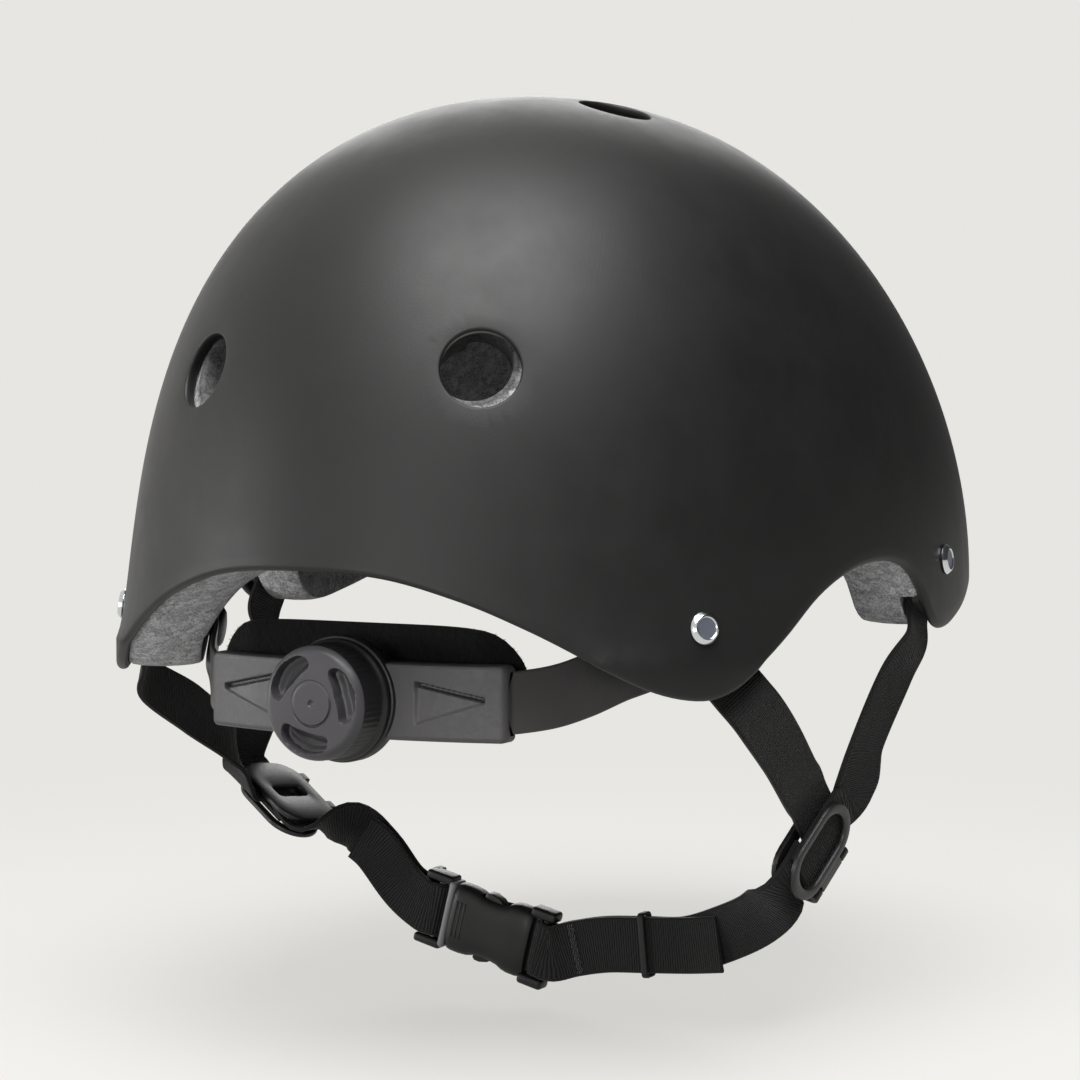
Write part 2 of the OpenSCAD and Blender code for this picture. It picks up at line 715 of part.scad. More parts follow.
left_down = unit([0.5, 0, -0.87]);
left_bar = in_buckle(male_bar);
left_marks = [
  [left_bar + [11, 0.3, 5.4], left_down], [left_bar + [18.9, 1.2, 15], [0.58, 0, -0.8]],
  [[divider_x - 22, 10.2, -49.2], [0.5, -0.1, -0.85]]
];
chin_left_route = concat(
  [for (up = [-3, -divider_l / 2]) [in_divider(pose_left, up, 0, under), pose_left[3]]],
  [[in_divider(pose_left, -17.5, 1, -2.4), pose_left[3]]],
  [for (i = [2:-1:0]) shifted(left_marks[i], -layer)],
  turn(left_bar, buckle_way),
  [for (i = [0:1]) shifted(left_marks[i], layer)],
  [[[divider_x - 26, 10.4 + layer, -51.8], [0.55, -0.1, -0.8]]]
);

module chin_strap_left() {
  color([0.09, 0.09, 0.09]) webbing(chin_left_route, web_w, web_t, 2);
}

module strap_keeper() {
  keeper_way = unit(right_marks[3][0] - right_marks[1][0]);
  inside_h = web_w + 0.8;
  inside_t = 2 * layer + web_t + 0.6;
  color([0.06, 0.06, 0.06])
  framed(right_marks[keeper_mark][0], keeper_way, [0, -1, 0], cross(keeper_way, [0, -1, 0]))
    translate([-keeper_l / 2, 0, 0]) rotate([90, 0, 90]) difference() {
      rounded_plate(inside_t + 2 * keeper_t, inside_h + 2 * keeper_t, keeper_l, 1.5);
      translate([0, 0, -1]) rounded_plate(inside_t, inside_h, keeper_l + 2, 0.6);
    }
}

module buckle_female() {
  body_mid = socket_end - socket_l / 2;
  cheek_l = -15 - female_bar + bar_r + 1.2;
  color([0.12, 0.12, 0.13])
  in_buckle_frame() {
    difference() {
      translate([body_mid, 0, -buckle_t / 2]) rounded_plate(socket_l, buckle_w, buckle_t, 4);
      translate([socket_end - 22, -buckle_w / 2 + 2.2, -slot_h / 2]) cube([30, buckle_w - 4.4, slot_h]);
      translate([socket_end - 17, -buckle_w, -slot_h / 2]) cube([9, 2 * buckle_w, slot_h]);
    }
    for (side = [-1, 1])
      translate([-15.5 - cheek_l, side * (web_w / 2 + 2.1) - 1.5, -2.6]) cube([cheek_l + 1.5, 3, 5.2]);
    translate([female_bar, -web_w / 2 - 2, 0]) rotate([-90, 0, 0]) cylinder(r = bar_r, h = web_w + 4);
  }
}

module buckle_male() {
  rail_l = 8;
  rail_in = web_w / 2 + 0.5;
  color([0.12, 0.12, 0.13])
  in_buckle_frame() difference() {
    union() {
      translate([male_from + block_l / 2, 0, -buckle_t / 2 + 0.6])
        rounded_plate(block_l, buckle_w - 1, buckle_t - 1.2, 0.9);
      for (side = [-1, 1])
        translate([male_from + block_l - 0.5, side > 0 ? rail_in : -rail_in - 2.6, -2.8])
          cube([rail_l + 0.5, 2.6, 5.6]);
      translate([male_from + rail_l + block_l - 2.4, -rail_in - 1, turn_r + web_t / 2 + fit])
        cube([2.4, 2 * rail_in + 2, 1.2]);
      for (side = [-1, 1])
        translate([male_from + rail_l + block_l - 2.4, side > 0 ? rail_in : -rail_in - 2.6, 0])
          cube([2.4, 2.6, turn_r + web_t / 2 + fit + 1.2]);
      translate([male_from - 17, -1.6, -1.6]) cube([17.5, 3.2, 3.2]);
    }
    translate([male_bar, -buckle_w, 0]) rotate([-90, 0, 0]) cylinder(r = bar_r + 0.05, h = 2 * buckle_w);
  }
}

// The two springy side prongs with their barbs, which show in the socket's windows
module prong(side) {
  inner = buckle_w / 2 - 2.2 - 0.4;
  color([0.12, 0.12, 0.13])
  in_buckle_frame()
    translate([0, 0, -slot_h / 2 + 0.4]) linear_extrude(slot_h - 0.8)
      polygon([
        [male_from - 0.3, side * (inner - 2.6)], [male_from - 0.3, side * inner],
        [socket_end - 8.6, side * (inner - 0.2)], [socket_end - 8.6, side * (buckle_w / 2 - 0.2)],
        [socket_end - 11, side * (buckle_w / 2 - 0.1)], [socket_end - 16.4, side * (inner - 0.6)],
        [socket_end - 17, side * (inner - 2)], [socket_end - 12, side * (inner - 2.4)]
      ]);
}

module prong_upper() {
  prong(1);
}

module prong_lower() {
  prong(-1);
}

module buckle_bar() {
  color([0.62, 0.62, 0.64])
  in_buckle_frame()
    translate([male_bar, -web_w / 2 - 2.8, 0]) rotate([-90, 0, 0]) cylinder(r = bar_r, h = web_w + 5.6);
}

// Fit dial, drawn about the dial's axis, which runs along Y at height dial_z
dial_z = -0.8;
wall = 2;
rack_top_y = housing_y - 5.2;
rack_low_y = rack_top_y - band_t - 0.2;
floor_y = rack_low_y - band_t - 0.2;
back_t = 1.6;
curve_mid = housing_y - housing_r;
flat_half = 30;
teeth = 12;
tooth_pitch = 2 * PI * pinion_r / teeth;
tooth_out = 0.62;
tooth_in = 0.8;
slot_half = pinion_r + tooth_out + 0.4;
shaft_r = 3;
spigot_r = 2.2;
screw_r = 1.2;

// A block between two arcs about the housing's centre of curve
module arc_block(r_in, r_out, height) {
  translate([0, curve_mid, -height / 2]) linear_extrude(height) difference() {
    circle(r_out, $fn = 180);
    circle(r_in, $fn = 180);
  }
}

module housing_outline(l, h, grow = 0) {
  translate([0, housing_y + 20, dial_z]) rotate([90, 0, 0])
    rounded_plate(l + 2 * grow, h + 2 * grow, 60, 4 + grow);
}

detent_r = 11.4;
detent_teeth = 24;
boss_y = housing_y + 0.2;

module dial_cover() {
  slot_h_band = band_h + 2 * fit;
  color([0.28, 0.28, 0.3])
  difference() {
    union() {
      intersection() {
        translate([0, 0, dial_z]) arc_block(housing_r - 12, housing_r, housing_h);
        housing_outline(housing_l, housing_h);
        translate([-housing_l, floor_y + 0.1 - 10, -50]) cube([2 * housing_l, 60, 100]);
      }
      translate([0, boss_y, dial_z]) rotate([90, 0, 0]) cylinder(d = knob_d + 1.2, h = 4);
      translate([0, boss_y, dial_z]) rotate([-90, 0, 0]) difference() {
        cylinder(r = detent_r + 1.2, h = 2);
        translate([0, 0, -1]) linear_extrude(4) polygon([
          for (i = [0:2 * detent_teeth - 1])
            let (r = detent_r - (i % 2) * 0.5, a = 180 * i / detent_teeth) [r * cos(a), r * sin(a)]
        ]);
      }
    }
    // Everything behind the band's channel belongs to the back plate
    translate([0, 0, dial_z]) arc_block(housing_r - 20, housing_r - wall - band_t - 0.6, housing_h + 2);
    translate([0, 0, dial_z]) intersection() {
      arc_block(housing_r - wall - band_t - 0.7, housing_r - wall, slot_h_band);
      translate([-housing_l, 0, -50]) cube([2 * housing_l, 200, 100]);
    }
    translate([-flat_half, floor_y - 10, dial_z - slot_h_band / 2])
      cube([2 * flat_half, rack_top_y + 0.2 - floor_y + 10, slot_h_band]);
    translate([-flat_half, floor_y - 20, dial_z - housing_h])
      cube([2 * flat_half, 20, 2 * housing_h]);
    translate([0, housing_y + 5, dial_z]) rotate([90, 0, 0]) cylinder(r = shaft_r + running, h = 20);
    wing_pockets();
  }
}

// The recessed arrow in each wing of the cover
module wing_pockets() {
  for (side = [-1, 1]) {
    near_x = side * (knob_d / 2 + 5);
    far_x = side * (housing_l / 2 - 6);
    intersection() {
      translate([0, 0, dial_z]) arc_block(housing_r - 0.8, housing_r + 5, housing_h);
      translate([0, housing_y + 10, dial_z]) rotate([90, 0, 0]) linear_extrude(30)
        polygon([[near_x, 5.6], [far_x, 1.2], [far_x, -0.6], [near_x, -5.2]]);
    }
  }
}

module dial_back() {
  slot_h_band = band_h + 2 * fit;
  back_r = housing_r - wall - band_t - 0.7;
  color([0.16, 0.16, 0.17])
  difference() {
    union() {
      intersection() {
        translate([0, 0, dial_z])
          arc_block(back_r - back_t, back_r, housing_h - 0.6);
        housing_outline(housing_l - 2, housing_h - 0.6);
        translate([-housing_l, 40, -50]) cube([2 * housing_l, 100, 100]);
      }
      translate([-flat_half + 0.2, floor_y - back_t - 0.1, dial_z - housing_h / 2 + 0.3])
        cube([2 * flat_half - 0.4, back_t, housing_h - 0.6]);
    }
    translate([-flat_half - 1, floor_y - 0.1, -50]) cube([2 * flat_half + 2, 60, 100]);
    translate([0, floor_y + 5, dial_z]) rotate([90, 0, 0]) cylinder(r = 4.2, h = 20);
  }
}

knob_low = boss_y + 0.3;
module dial_knob() {
  r = knob_d / 2;
  hollow = detent_r + 1.5;
  color([0.26, 0.26, 0.28])
  translate([0, 0, dial_z])
  difference() {
    translate([0, knob_low, 0]) rotate([-90, 0, 0]) rotate_extrude($fn = 96)
      polygon([
        [0, 0], [shaft_r, 0], [shaft_r, 2.4], [hollow, 2.4], [hollow, 0], [r, 0], [r, 1.4],
        [r - 0.9, 1.9], [r - 1.1, knob_h - 2.4], [r - 2, knob_h - 1.2], [r - 4, knob_h - 0.5],
        [r - 9, knob_h - 0.1], [0, knob_h]
      ]);
    for (turn = [30, 150, 270]) rotate([0, turn, 0])
      translate([0, knob_low + knob_h + 2, 9.2]) rotate([90, 0, 0]) finger_recess();
    translate([0, knob_low + 6, 0]) rotate([90, 0, 0]) cylinder(r = screw_r + 0.05, h = 12);
  }
  translate([0, 0, dial_z]) difference() {
    union() {
      translate([0, knob_low + 0.5, 0]) rotate([90, 0, 0])
        cylinder(r = shaft_r, h = knob_low + 0.5 - rack_top_y - 0.1);
      translate([0, rack_top_y + 0.2, 0]) rotate([90, 0, 0])
        cylinder(r = spigot_r, h = rack_top_y + 0.2 - floor_y - 0.3);
    }
    translate([0, knob_low + 6, 0]) rotate([90, 0, 0]) cylinder(r = screw_r + 0.05, h = 22);
  }
}

module finger_recess() {
  linear_extrude(4.6) {
    square([9, 5], center = true);
    for (x = [-4.5, 4.5]) translate([x, 0]) circle(2.5);
  }
}

module dial_pinion() {
  length = rack_top_y - floor_y - 0.3;
  color([0.75, 0.75, 0.72])
  translate([0, rack_top_y, dial_z]) rotate([90, 0, 0]) linear_extrude(length) difference() {
    union() {
      circle(pinion_r - tooth_in);
      for (i = [0:teeth - 1]) rotate(90 + 360 * i / teeth)
        polygon([
          [pinion_r - tooth_in - 0.4, -0.72], [pinion_r, -0.42], [pinion_r + tooth_out, -0.16],
          [pinion_r + tooth_out, 0.16], [pinion_r, 0.42], [pinion_r - tooth_in - 0.4, 0.72]
        ]);
    }
    circle(spigot_r + 0.05);
  }
}

module detent_spring() {
  color([0.8, 0.8, 0.76])
  translate([0, boss_y + 1.4, dial_z]) rotate([-90, 0, 0]) linear_extrude(1.2) {
    difference() {
      circle(5);
      circle(shaft_r + 0.1);
    }
    for (turn = [0, 180]) rotate(turn)
      polygon([[3.6, -1.2], [9.6, -3.4], [10.8, -0.25], [10.8, 0.25], [9.2, -2.2], [4.4, 0.6]]);
  }
}

module dial_screw() {
  color([0.7, 0.71, 0.73])
  translate([0, floor_y + 0.1, dial_z]) rotate([-90, 0, 0]) difference() {
    union() {
      translate([0, 0, -1.4]) cylinder(r = 3.4, h = 1.5);
      cylinder(r = screw_r, h = 8);
    }
    for (turn = [0, 90]) rotate(turn) translate([-2, -0.35, -2]) cube([4, 0.7, 1.2]);
  }
}

rack_in = 19;
rack_out = 22;
slot_from = -15;
slot_to = 15;

// A rack for the wearer's left, with its teeth above the pinion
module rack(top_y) {
  first = ceil((slot_from + 1.2) / tooth_pitch);
  last = floor((slot_to - 1.2) / tooth_pitch);
  translate([0, top_y, dial_z]) rotate([90, 0, 0]) linear_extrude(band_t) {
    difference() {
      translate([-rack_in, -band_h / 2]) square([rack_in + rack_out, band_h]);
      translate([slot_from, -slot_half]) square([slot_to - slot_from, slot_half + pinion_r + tooth_in]);
    }
    for (i = [first:last]) translate([(i + 0.5) * tooth_pitch, pinion_r])
      polygon([
        [-0.75, tooth_in + 0.1], [-0.36, 0], [-0.14, -tooth_out], [0.14, -tooth_out],
        [0.36, 0], [0.75, tooth_in + 0.1]
      ]);
  }
}

module rack_left() {
  color([0.24, 0.24, 0.24]) rack(rack_top_y);
}

module rack_right() {
  color([0.24, 0.24, 0.24])
    translate([0, 0, 2 * dial_z]) rotate([0, 180, 0]) rack(rack_low_y);
}

// The flexible bands run from the racks through the wings to the studs in the rear lobes
function wing_point(x) =
  let (r = housing_r - wall - 0.3 - band_t / 2) [x, curve_mid + sqrt(r * r - x * x), dial_z];
upright = [0, 0, 1];
plug_seat = plug_at - (band_t / 2 + 1.1) * plug_out;
plug_up = chord_up(plug_phi, plug_z);
plug_way = cross(plug_out, plug_up);
function liner_mark(phi, z, clear) =
  [chord_mid(phi, z) - (band_t / 2 + clear) * chord_out(phi, z), chord_up(phi, z)];
function band_route(y) = [
  [[rack_out + fit, y, dial_z], upright],
  [[28, (y + wing_point(28)[1]) / 2, dial_z], upright],
  [wing_point(32), upright], [wing_point(36), upright], [wing_point(housing_l / 2 - 2), upright],
  [dome_point(34.7, 0.4, liner_in + 1.2), upright], [dome_point(40, 2.6, liner_in + 2.4), upright],
  liner_mark(45, 6.2, 1.6), liner_mark(49.5, 8.8, 1),
  [plug_seat - 6 * plug_way, plug_up], [plug_seat, plug_up], [plug_seat + 7.5 * plug_way, plug_up]
];

module band(y) {
  difference() {
    webbing(band_route(y), band_h, band_t - fit, 3);
    facing(plug_at, plug_out) translate([0, 0, -8]) cylinder(r = plug_r + 0.1, h = 16);
  }
}

module band_left() {
  color([0.24, 0.24, 0.24]) band(rack_top_y - band_t / 2);
}

module band_right() {
  color([0.24, 0.24, 0.24]) mirror([1, 0, 0]) band(rack_low_y - band_t / 2);
}

module band_plugs() {
  head = -(band_t + 1.4);
  color([0.14, 0.14, 0.14])
  both_sides() facing(plug_at, plug_out) {
    translate([0, 0, head - 1.5]) cylinder(r = 5.2, h = 1.5);
    translate([0, 0, head - 0.5]) cylinder(r = plug_r, h = plug_deep - head);
  }
}

// The nape pad, a soft cushion between the housing and the head
nape_low = -10;
nape_high = 17;
nape_l = housing_l + 3;
module nape_pad() {
  nu = 29;
  nv = 11;
  face = housing_r - wall - band_t - 0.7 - back_t - 0.5;
  mid = (nape_low + nape_high) / 2;
  function spot(i, j, deep) =
    let (u = 2 * i / (nu - 1) - 1, v = 2 * j / (nv - 1) - 1,
         x = u * nape_l / 2,
         tall = (nape_high - nape_low) / 2 * pow(1 - 0.86 * pow(abs(u), 5), 0.5),
         r = face - deep)
    [x, curve_mid + sqrt(r * r - x * x), mid + v * tall];
  upper = [for (i = [0:nu - 1]) for (j = [0:nv - 1]) spot(i, j, 0)];
  lower = [
    for (i = [0:nu - 1]) for (j = [0:nv - 1])
      let (u = i / (nu - 1), v = j / (nv - 1))
      spot(i, j, 1.4 + (nape_pad_t - 1.4) * swell(u) * swell(v))
  ];
  color([0.05, 0.05, 0.05]) difference() {
    plate_between(upper, lower, nu, nv);
    translate([-flat_half - 1, floor_y - back_t - 0.4, -60]) cube([2 * flat_half + 2, 60, 120]);
  }
}

outer_shell();
foam_liner();
crown_pad();
front_pad();
side_pad_left();
side_pad_right();
rear_pad();
pad_fasteners();
strap_rivets();
rivet_washers();
strap_tabs();
strap_rear_left();
strap_rear_right();
strap_front_left();
strap_front_right();
divider_left();
divider_right();
divider_lid_left();
divider_lid_right();
chin_strap_left();
chin_strap_right();
strap_keeper();
buckle_female();
buckle_male();
prong_upper();
prong_lower();
buckle_bar();
dial_cover();
dial_back();
dial_knob();
dial_pinion();
detent_spring();
dial_screw();
rack_left();
rack_right();
band_left();
band_right();
band_plugs();
nape_pad();
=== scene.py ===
import math

import bmesh
import bpy
import numpy as np
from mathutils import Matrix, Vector


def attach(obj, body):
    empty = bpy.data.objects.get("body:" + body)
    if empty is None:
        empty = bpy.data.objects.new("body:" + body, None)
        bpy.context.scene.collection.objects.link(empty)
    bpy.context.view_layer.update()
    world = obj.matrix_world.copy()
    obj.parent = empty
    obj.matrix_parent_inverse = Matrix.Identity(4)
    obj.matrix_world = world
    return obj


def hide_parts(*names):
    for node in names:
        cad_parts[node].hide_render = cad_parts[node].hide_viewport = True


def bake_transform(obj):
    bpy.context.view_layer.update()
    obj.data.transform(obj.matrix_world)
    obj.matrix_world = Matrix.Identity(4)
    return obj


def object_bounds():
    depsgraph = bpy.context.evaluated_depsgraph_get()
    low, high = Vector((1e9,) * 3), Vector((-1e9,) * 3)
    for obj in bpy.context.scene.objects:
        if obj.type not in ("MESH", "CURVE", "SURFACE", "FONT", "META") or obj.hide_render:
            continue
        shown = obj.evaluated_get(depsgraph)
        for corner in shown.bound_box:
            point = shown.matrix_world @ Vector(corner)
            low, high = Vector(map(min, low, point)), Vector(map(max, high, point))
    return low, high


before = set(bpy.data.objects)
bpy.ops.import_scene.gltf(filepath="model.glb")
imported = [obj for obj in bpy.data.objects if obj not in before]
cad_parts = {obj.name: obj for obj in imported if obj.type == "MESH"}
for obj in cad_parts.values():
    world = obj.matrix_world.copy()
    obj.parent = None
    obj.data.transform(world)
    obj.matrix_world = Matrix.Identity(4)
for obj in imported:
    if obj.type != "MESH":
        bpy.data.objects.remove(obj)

cad_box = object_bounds()
MM = 0.001

# Camera, floor and light. The camera stands behind the helmet on the wearer's right, level with
# the middle of the shell, with a long lens. Floor and room are pale and plain. A wide soft lamp
# hangs over it, three small ones fill in, and a gleam also sees a darker wall on the right.
scene = bpy.context.scene
picture_px = 1080
focal_px = 2766
middle_row = 403.8
camera_turn = math.radians(28.5)
camera_away = 750
aim_behind = 8
eye_height = 70
pitch = math.atan((picture_px / 2 - middle_row) / focal_px)


def tone(red, green=None, blue=None):
    """A colour as it shows on a screen, from 0 to 255, made linear for the shader."""
    shades = (red, red if green is None else green, red if blue is None else blue)
    linear = [s / 255 / 12.92 if s <= 10 else ((s / 255 + 0.055) / 1.055) ** 2.4 for s in shades]
    return (*linear, 1)


camera = bpy.data.objects.new("camera", bpy.data.cameras.new("camera"))
scene.collection.objects.link(camera)
scene.camera = camera
camera.data.sensor_width = 36
camera.data.lens = 36 * focal_px / picture_px
camera.location = Vector((-camera_away * math.sin(camera_turn),
                          aim_behind + camera_away * math.cos(camera_turn), eye_height)) * MM
looking = Vector((math.sin(camera_turn) * math.cos(pitch), -math.cos(camera_turn) * math.cos(pitch),
                  -math.sin(pitch)))
camera.rotation_euler = looking.to_track_quat("-Z", "Y").to_euler()
camera.data.clip_end = 20


def new_material(name, colour, roughness, **sockets):
    """A material with a plain shader to build on, and the shader."""
    material = bpy.data.materials.new(name)
    material.use_nodes = True
    shader = material.node_tree.nodes["Principled BSDF"]
    shader.inputs["Base Color"].default_value = colour
    shader.inputs["Roughness"].default_value = roughness
    for socket, value in sockets.items():
        shader.inputs[socket.replace("_", " ")].default_value = value
    return material, shader


def add_node(tree, kind, settings=None, **sockets):
    """A node of one kind, with values or other nodes' outputs in its sockets."""
    made = tree.nodes.new("ShaderNode" + kind)
    for name, value in (settings or {}).items():
        setattr(made, name, value)
    for socket, value in sockets.items():
        name = int(socket[1:]) if socket[0] == "_" else socket.replace("_", " ")
        if isinstance(value, bpy.types.NodeSocket):
            tree.links.new(value, made.inputs[name])
        else:
            made.inputs[name].default_value = value
    return made


def calc(tree, operation, *values):
    """What a maths node makes of some values or other nodes' outputs."""
    return add_node(tree, "Math", {"operation": operation},
                    **{f"_{k}": value for k, value in enumerate(values)}).outputs[0]


def mixed(tree, share, first, second, blend="MIX"):
    """One colour with a share of another."""
    return add_node(tree, "Mix", {"data_type": "RGBA", "blend_type": blend}, Factor=share,
                    _6=first, _7=second).outputs[2]


def seen_past(tree):
    """1 where a ray comes from the camera or off something glossy or clear, else 0."""
    path = add_node(tree, "LightPath")
    either = calc(tree, "MAXIMUM", path.outputs["Is Camera Ray"], path.outputs["Is Glossy Ray"])
    return calc(tree, "MAXIMUM", either, path.outputs["Is Transmission Ray"])


backdrop, dark_wall = tone(231, 230, 226), tone(64)
room_light = 0.13
world = bpy.data.worlds.new("room")
scene.world = world
world.use_nodes = True
sky = world.node_tree
behind = sky.nodes["Background"]
toward = add_node(sky, "TexCoord")
rightward = add_node(sky, "VectorMath", {"operation": "DOT_PRODUCT"},
                     _0=toward.outputs["Generated"],
                     _1=(-math.cos(camera_turn), -math.sin(camera_turn), 0))
wall = add_node(sky, "MapRange", {"interpolation_type": "SMOOTHSTEP"},
                Value=rightward.outputs["Value"], From_Min=-0.15, From_Max=0.55, To_Min=0, To_Max=1)
path = add_node(sky, "LightPath")
in_gloss = calc(sky, "MULTIPLY", wall.outputs[0], path.outputs["Is Glossy Ray"])
shown = mixed(sky, seen_past(sky), (room_light, room_light, room_light, 1),
              mixed(sky, in_gloss, backdrop, dark_wall))
sky.links.new(shown, behind.inputs["Color"])
behind.inputs["Strength"].default_value = 1

floor_low = cad_box[0].z - 0.004
floor_mesh = bpy.data.meshes.new("floor")
floor_mesh.from_pydata([(x, y, floor_low) for x, y in ((-6, -6), (6, -6), (6, 6), (-6, 6))], [],
                       [(0, 1, 2, 3)])
floor = bpy.data.objects.new("floor", floor_mesh)
scene.collection.objects.link(floor)
floor_material, floor_shader = new_material("floor_paper", tone(236, 235, 232), 0.9)
tree = floor_material.node_tree
paper = mixed(tree, seen_past(tree), tone(105), tone(220, 219, 216))
tree.links.new(paper, floor_shader.inputs["Base Color"])
ground = add_node(tree, "TexCoord")
away = add_node(tree, "VectorMath", {"operation": "LENGTH"}, _0=ground.outputs["Object"])
fade = add_node(tree, "MapRange", {"interpolation_type": "SMOOTHSTEP"}, Value=away.outputs["Value"],
                From_Min=0.08, From_Max=0.55, To_Min=0.72, To_Max=1)
share = calc(tree, "MULTIPLY", fade.outputs[0], seen_past(tree))
glow = add_node(tree, "Emission", Color=backdrop, Strength=1)
both = add_node(tree, "MixShader", _0=share, _1=floor_shader.outputs[0], _2=glow.outputs[0])
tree.links.new(both.outputs[0], tree.nodes["Material Output"].inputs["Surface"])
floor_mesh.materials.append(floor_material)


def soft_lamp(name, place, target, size, watts):
    """A square soft lamp that points at a place."""
    lamp = bpy.data.lights.new(name, "AREA")
    lamp.size, lamp.energy = size, watts
    stand = bpy.data.objects.new(name, lamp)
    scene.collection.objects.link(stand)
    stand.location = place
    stand.rotation_euler = (Vector(target) - Vector(place)).to_track_quat("-Z", "Y").to_euler()


soft_lamp("lamp_over", (-0.27, 0.47, 1.14), (0, 0.02, 0.06), 1.0, 30)
soft_lamp("lamp_side", (1.05, 0.7, 0.02), (0, 0.02, 0.02), 0.4, 6)
soft_lamp("lamp_low", (-0.08, 1.15, -0.03), (0.02, 0.05, 0), 0.35, 4)
soft_lamp("lamp_front", (0.6, -1.1, 0.6), (0, 0, 0.04), 0.8, 8)
scene.view_settings.view_transform = "Standard"

# Outer shell. One hard plastic moulding with a matte charcoal skin, a rounded rim that dips into
# a lobe behind and before each ear, and round vents whose edges are eased.
shell_w, shell_l, crown_h, base_z = 216, 270.8, 141.7, 10
dome_n, brow_swell, crown_back = 2.17, 6.2, 6.6
shell_t = 3
vent_r = 9.5
rim_marks = [
    (0, 31), (12, 29.6), (22, 24.4), (30, 18), (38, 10.4), (45, 3.6), (50, 0.8), (54, 0.9), (58, 5),
    (62, 13), (67, 23), (73, 29.2), (79, 30.8), (84, 28.6), (88, 22.6), (91.5, 15), (95.5, 11.6),
    (102, 14), (113, 20.5), (135, 28), (158, 31), (180, 32)]


def ring_back(rise):
    """How far a ring of the dome lies behind the origin."""
    return crown_back * rise * rise * (3 - 2 * rise) - brow_swell * math.sin(math.pi * rise ** 0.6)


def dome_point(phi, z, inset):
    rise = min(1, max(0, (z - base_z) / (crown_h - inset)))
    reach = (1 - rise ** dome_n) ** (1 / dome_n)
    turn = math.radians(phi)
    return Vector(((shell_w / 2 - inset) * reach * math.sin(turn),
                   (shell_l / 2 - inset) * reach * math.cos(turn) + ring_back(rise), z))


def dome_normal(phi, z, inset):
    across = dome_point(phi + 0.5, z, inset) - dome_point(phi - 0.5, z, inset)
    upward = dome_point(phi, z + 0.5, inset) - dome_point(phi, z - 0.5, inset)
    return upward.cross(across).normalized()


def dome_over(x, y, inset):
    """Height of the dome over a point near the crown."""
    back, z = crown_back, 0
    for _ in range(5):
        reach = math.hypot(x / (shell_w / 2 - inset), (y - back) / (shell_l / 2 - inset))
        rise = max(0, 1 - reach ** dome_n) ** (1 / dome_n)
        back, z = ring_back(rise), base_z + (crown_h - inset) * rise
    return z


def dome_angle(x, y, z, inset):
    rise = (z - base_z) / (crown_h - inset)
    return math.degrees(math.atan2(x / (shell_w / 2 - inset),
                                   (y - ring_back(rise)) / (shell_l / 2 - inset)))


def rim_height(phi):
    """Height of the rim at an angle, eased through the marks."""
    side = phi % 360
    side = 360 - side if side > 180 else side
    last = len(rim_marks) - 1
    i = max(k for k in range(last) if rim_marks[k][0] <= side)

    def slope(k):
        if k <= 0 or k >= last:
            return 0
        return ((rim_marks[k + 1][1] - rim_marks[k - 1][1])
                / (rim_marks[k + 1][0] - rim_marks[k - 1][0]))

    (start, low), (end, high) = rim_marks[i:i + 2]
    gap = end - start
    u = (side - start) / gap
    return ((2 * u ** 3 - 3 * u ** 2 + 1) * low + (u ** 3 - 2 * u ** 2 + u) * gap * slope(i)
            + (3 * u ** 2 - 2 * u ** 3) * high + (u ** 3 - u ** 2) * gap * slope(i + 1))


def on_dome(place, way, inset, reach=14):
    """Where a line through a place meets the dome, found by halving."""
    def outside(run):
        spot = place + way * run
        rise = min(1, max(0, (spot.z - base_z) / (crown_h - inset)))
        wide = (1 - rise ** dome_n) ** (1 / dome_n) + 1e-9
        return math.hypot(spot.x / ((shell_w / 2 - inset) * wide),
                          (spot.y - ring_back(rise)) / ((shell_l / 2 - inset) * wide)) > 1
    low, high = -reach - inset, reach
    for _ in range(26):
        middle = (low + high) / 2
        low, high = (low, middle) if outside(middle) else (middle, high)
    return place + way * low


def make_piece(name, points, faces, material, crease=35):
    """A mesh piece from points in millimetres, smooth except over sharp edges."""
    mesh = bpy.data.meshes.new(name)
    mesh.from_pydata([tuple(c * MM for c in p) for p in points], [], faces)
    tidy = bmesh.new()
    tidy.from_mesh(mesh)
    bmesh.ops.recalc_face_normals(tidy, faces=tidy.faces)
    tidy.to_mesh(mesh)
    tidy.free()
    mesh.shade_smooth()
    mesh.set_sharp_from_angle(angle=math.radians(crease))
    mesh.materials.append(material)
    made = bpy.data.objects.new(name, mesh)
    scene.collection.objects.link(made)
    return made


def vent_places():
    """Middle and outward direction of each vent on the shell."""
    found = []
    crown_spots = [(30, 22), (30, -34)]
    marks = [(23.8, 78.4), (180 - 23.8, 92)]
    for x, y in crown_spots:
        z = dome_over(x, y, 0)
        marks.append((dome_angle(x, y, z, 0), z))
    for phi, z in marks:
        for side in (1, -1):
            middle, out = dome_point(phi, z, 0), dome_normal(phi, z, 0)
            found.append((Vector((side * middle.x, middle.y, middle.z)),
                          Vector((side * out.x, out.y, out.z))))
    return found


def open_loops(kept, cut):
    """The loops of points along which some faces are cut away from the rest, each in its order."""
    gone = {frozenset((a, b)) for f in cut for a, b in zip(f, f[1:] + f[:1])}
    beside = {}
    for f in kept:
        for a, b in zip(f, f[1:] + f[:1]):
            if frozenset((a, b)) in gone:
                beside.setdefault(a, []).append(b)
                beside.setdefault(b, []).append(a)
    loops = []
    while beside:
        loop = [next(iter(beside))]
        while True:
            onward = [k for k in beside[loop[-1]] if k not in loop[-2:-1]]
            if not onward or onward[0] == loop[0]:
                break
            loop.append(onward[0])
        for k in loop:
            del beside[k]
        loops.append(loop)
    return loops


def axes_across(way):
    """Two directions square to a direction and to each other."""
    first = way.orthogonal().normalized()
    return first, way.cross(first)


def round_angles(count):
    return [2 * math.pi * k / count for k in range(count)]


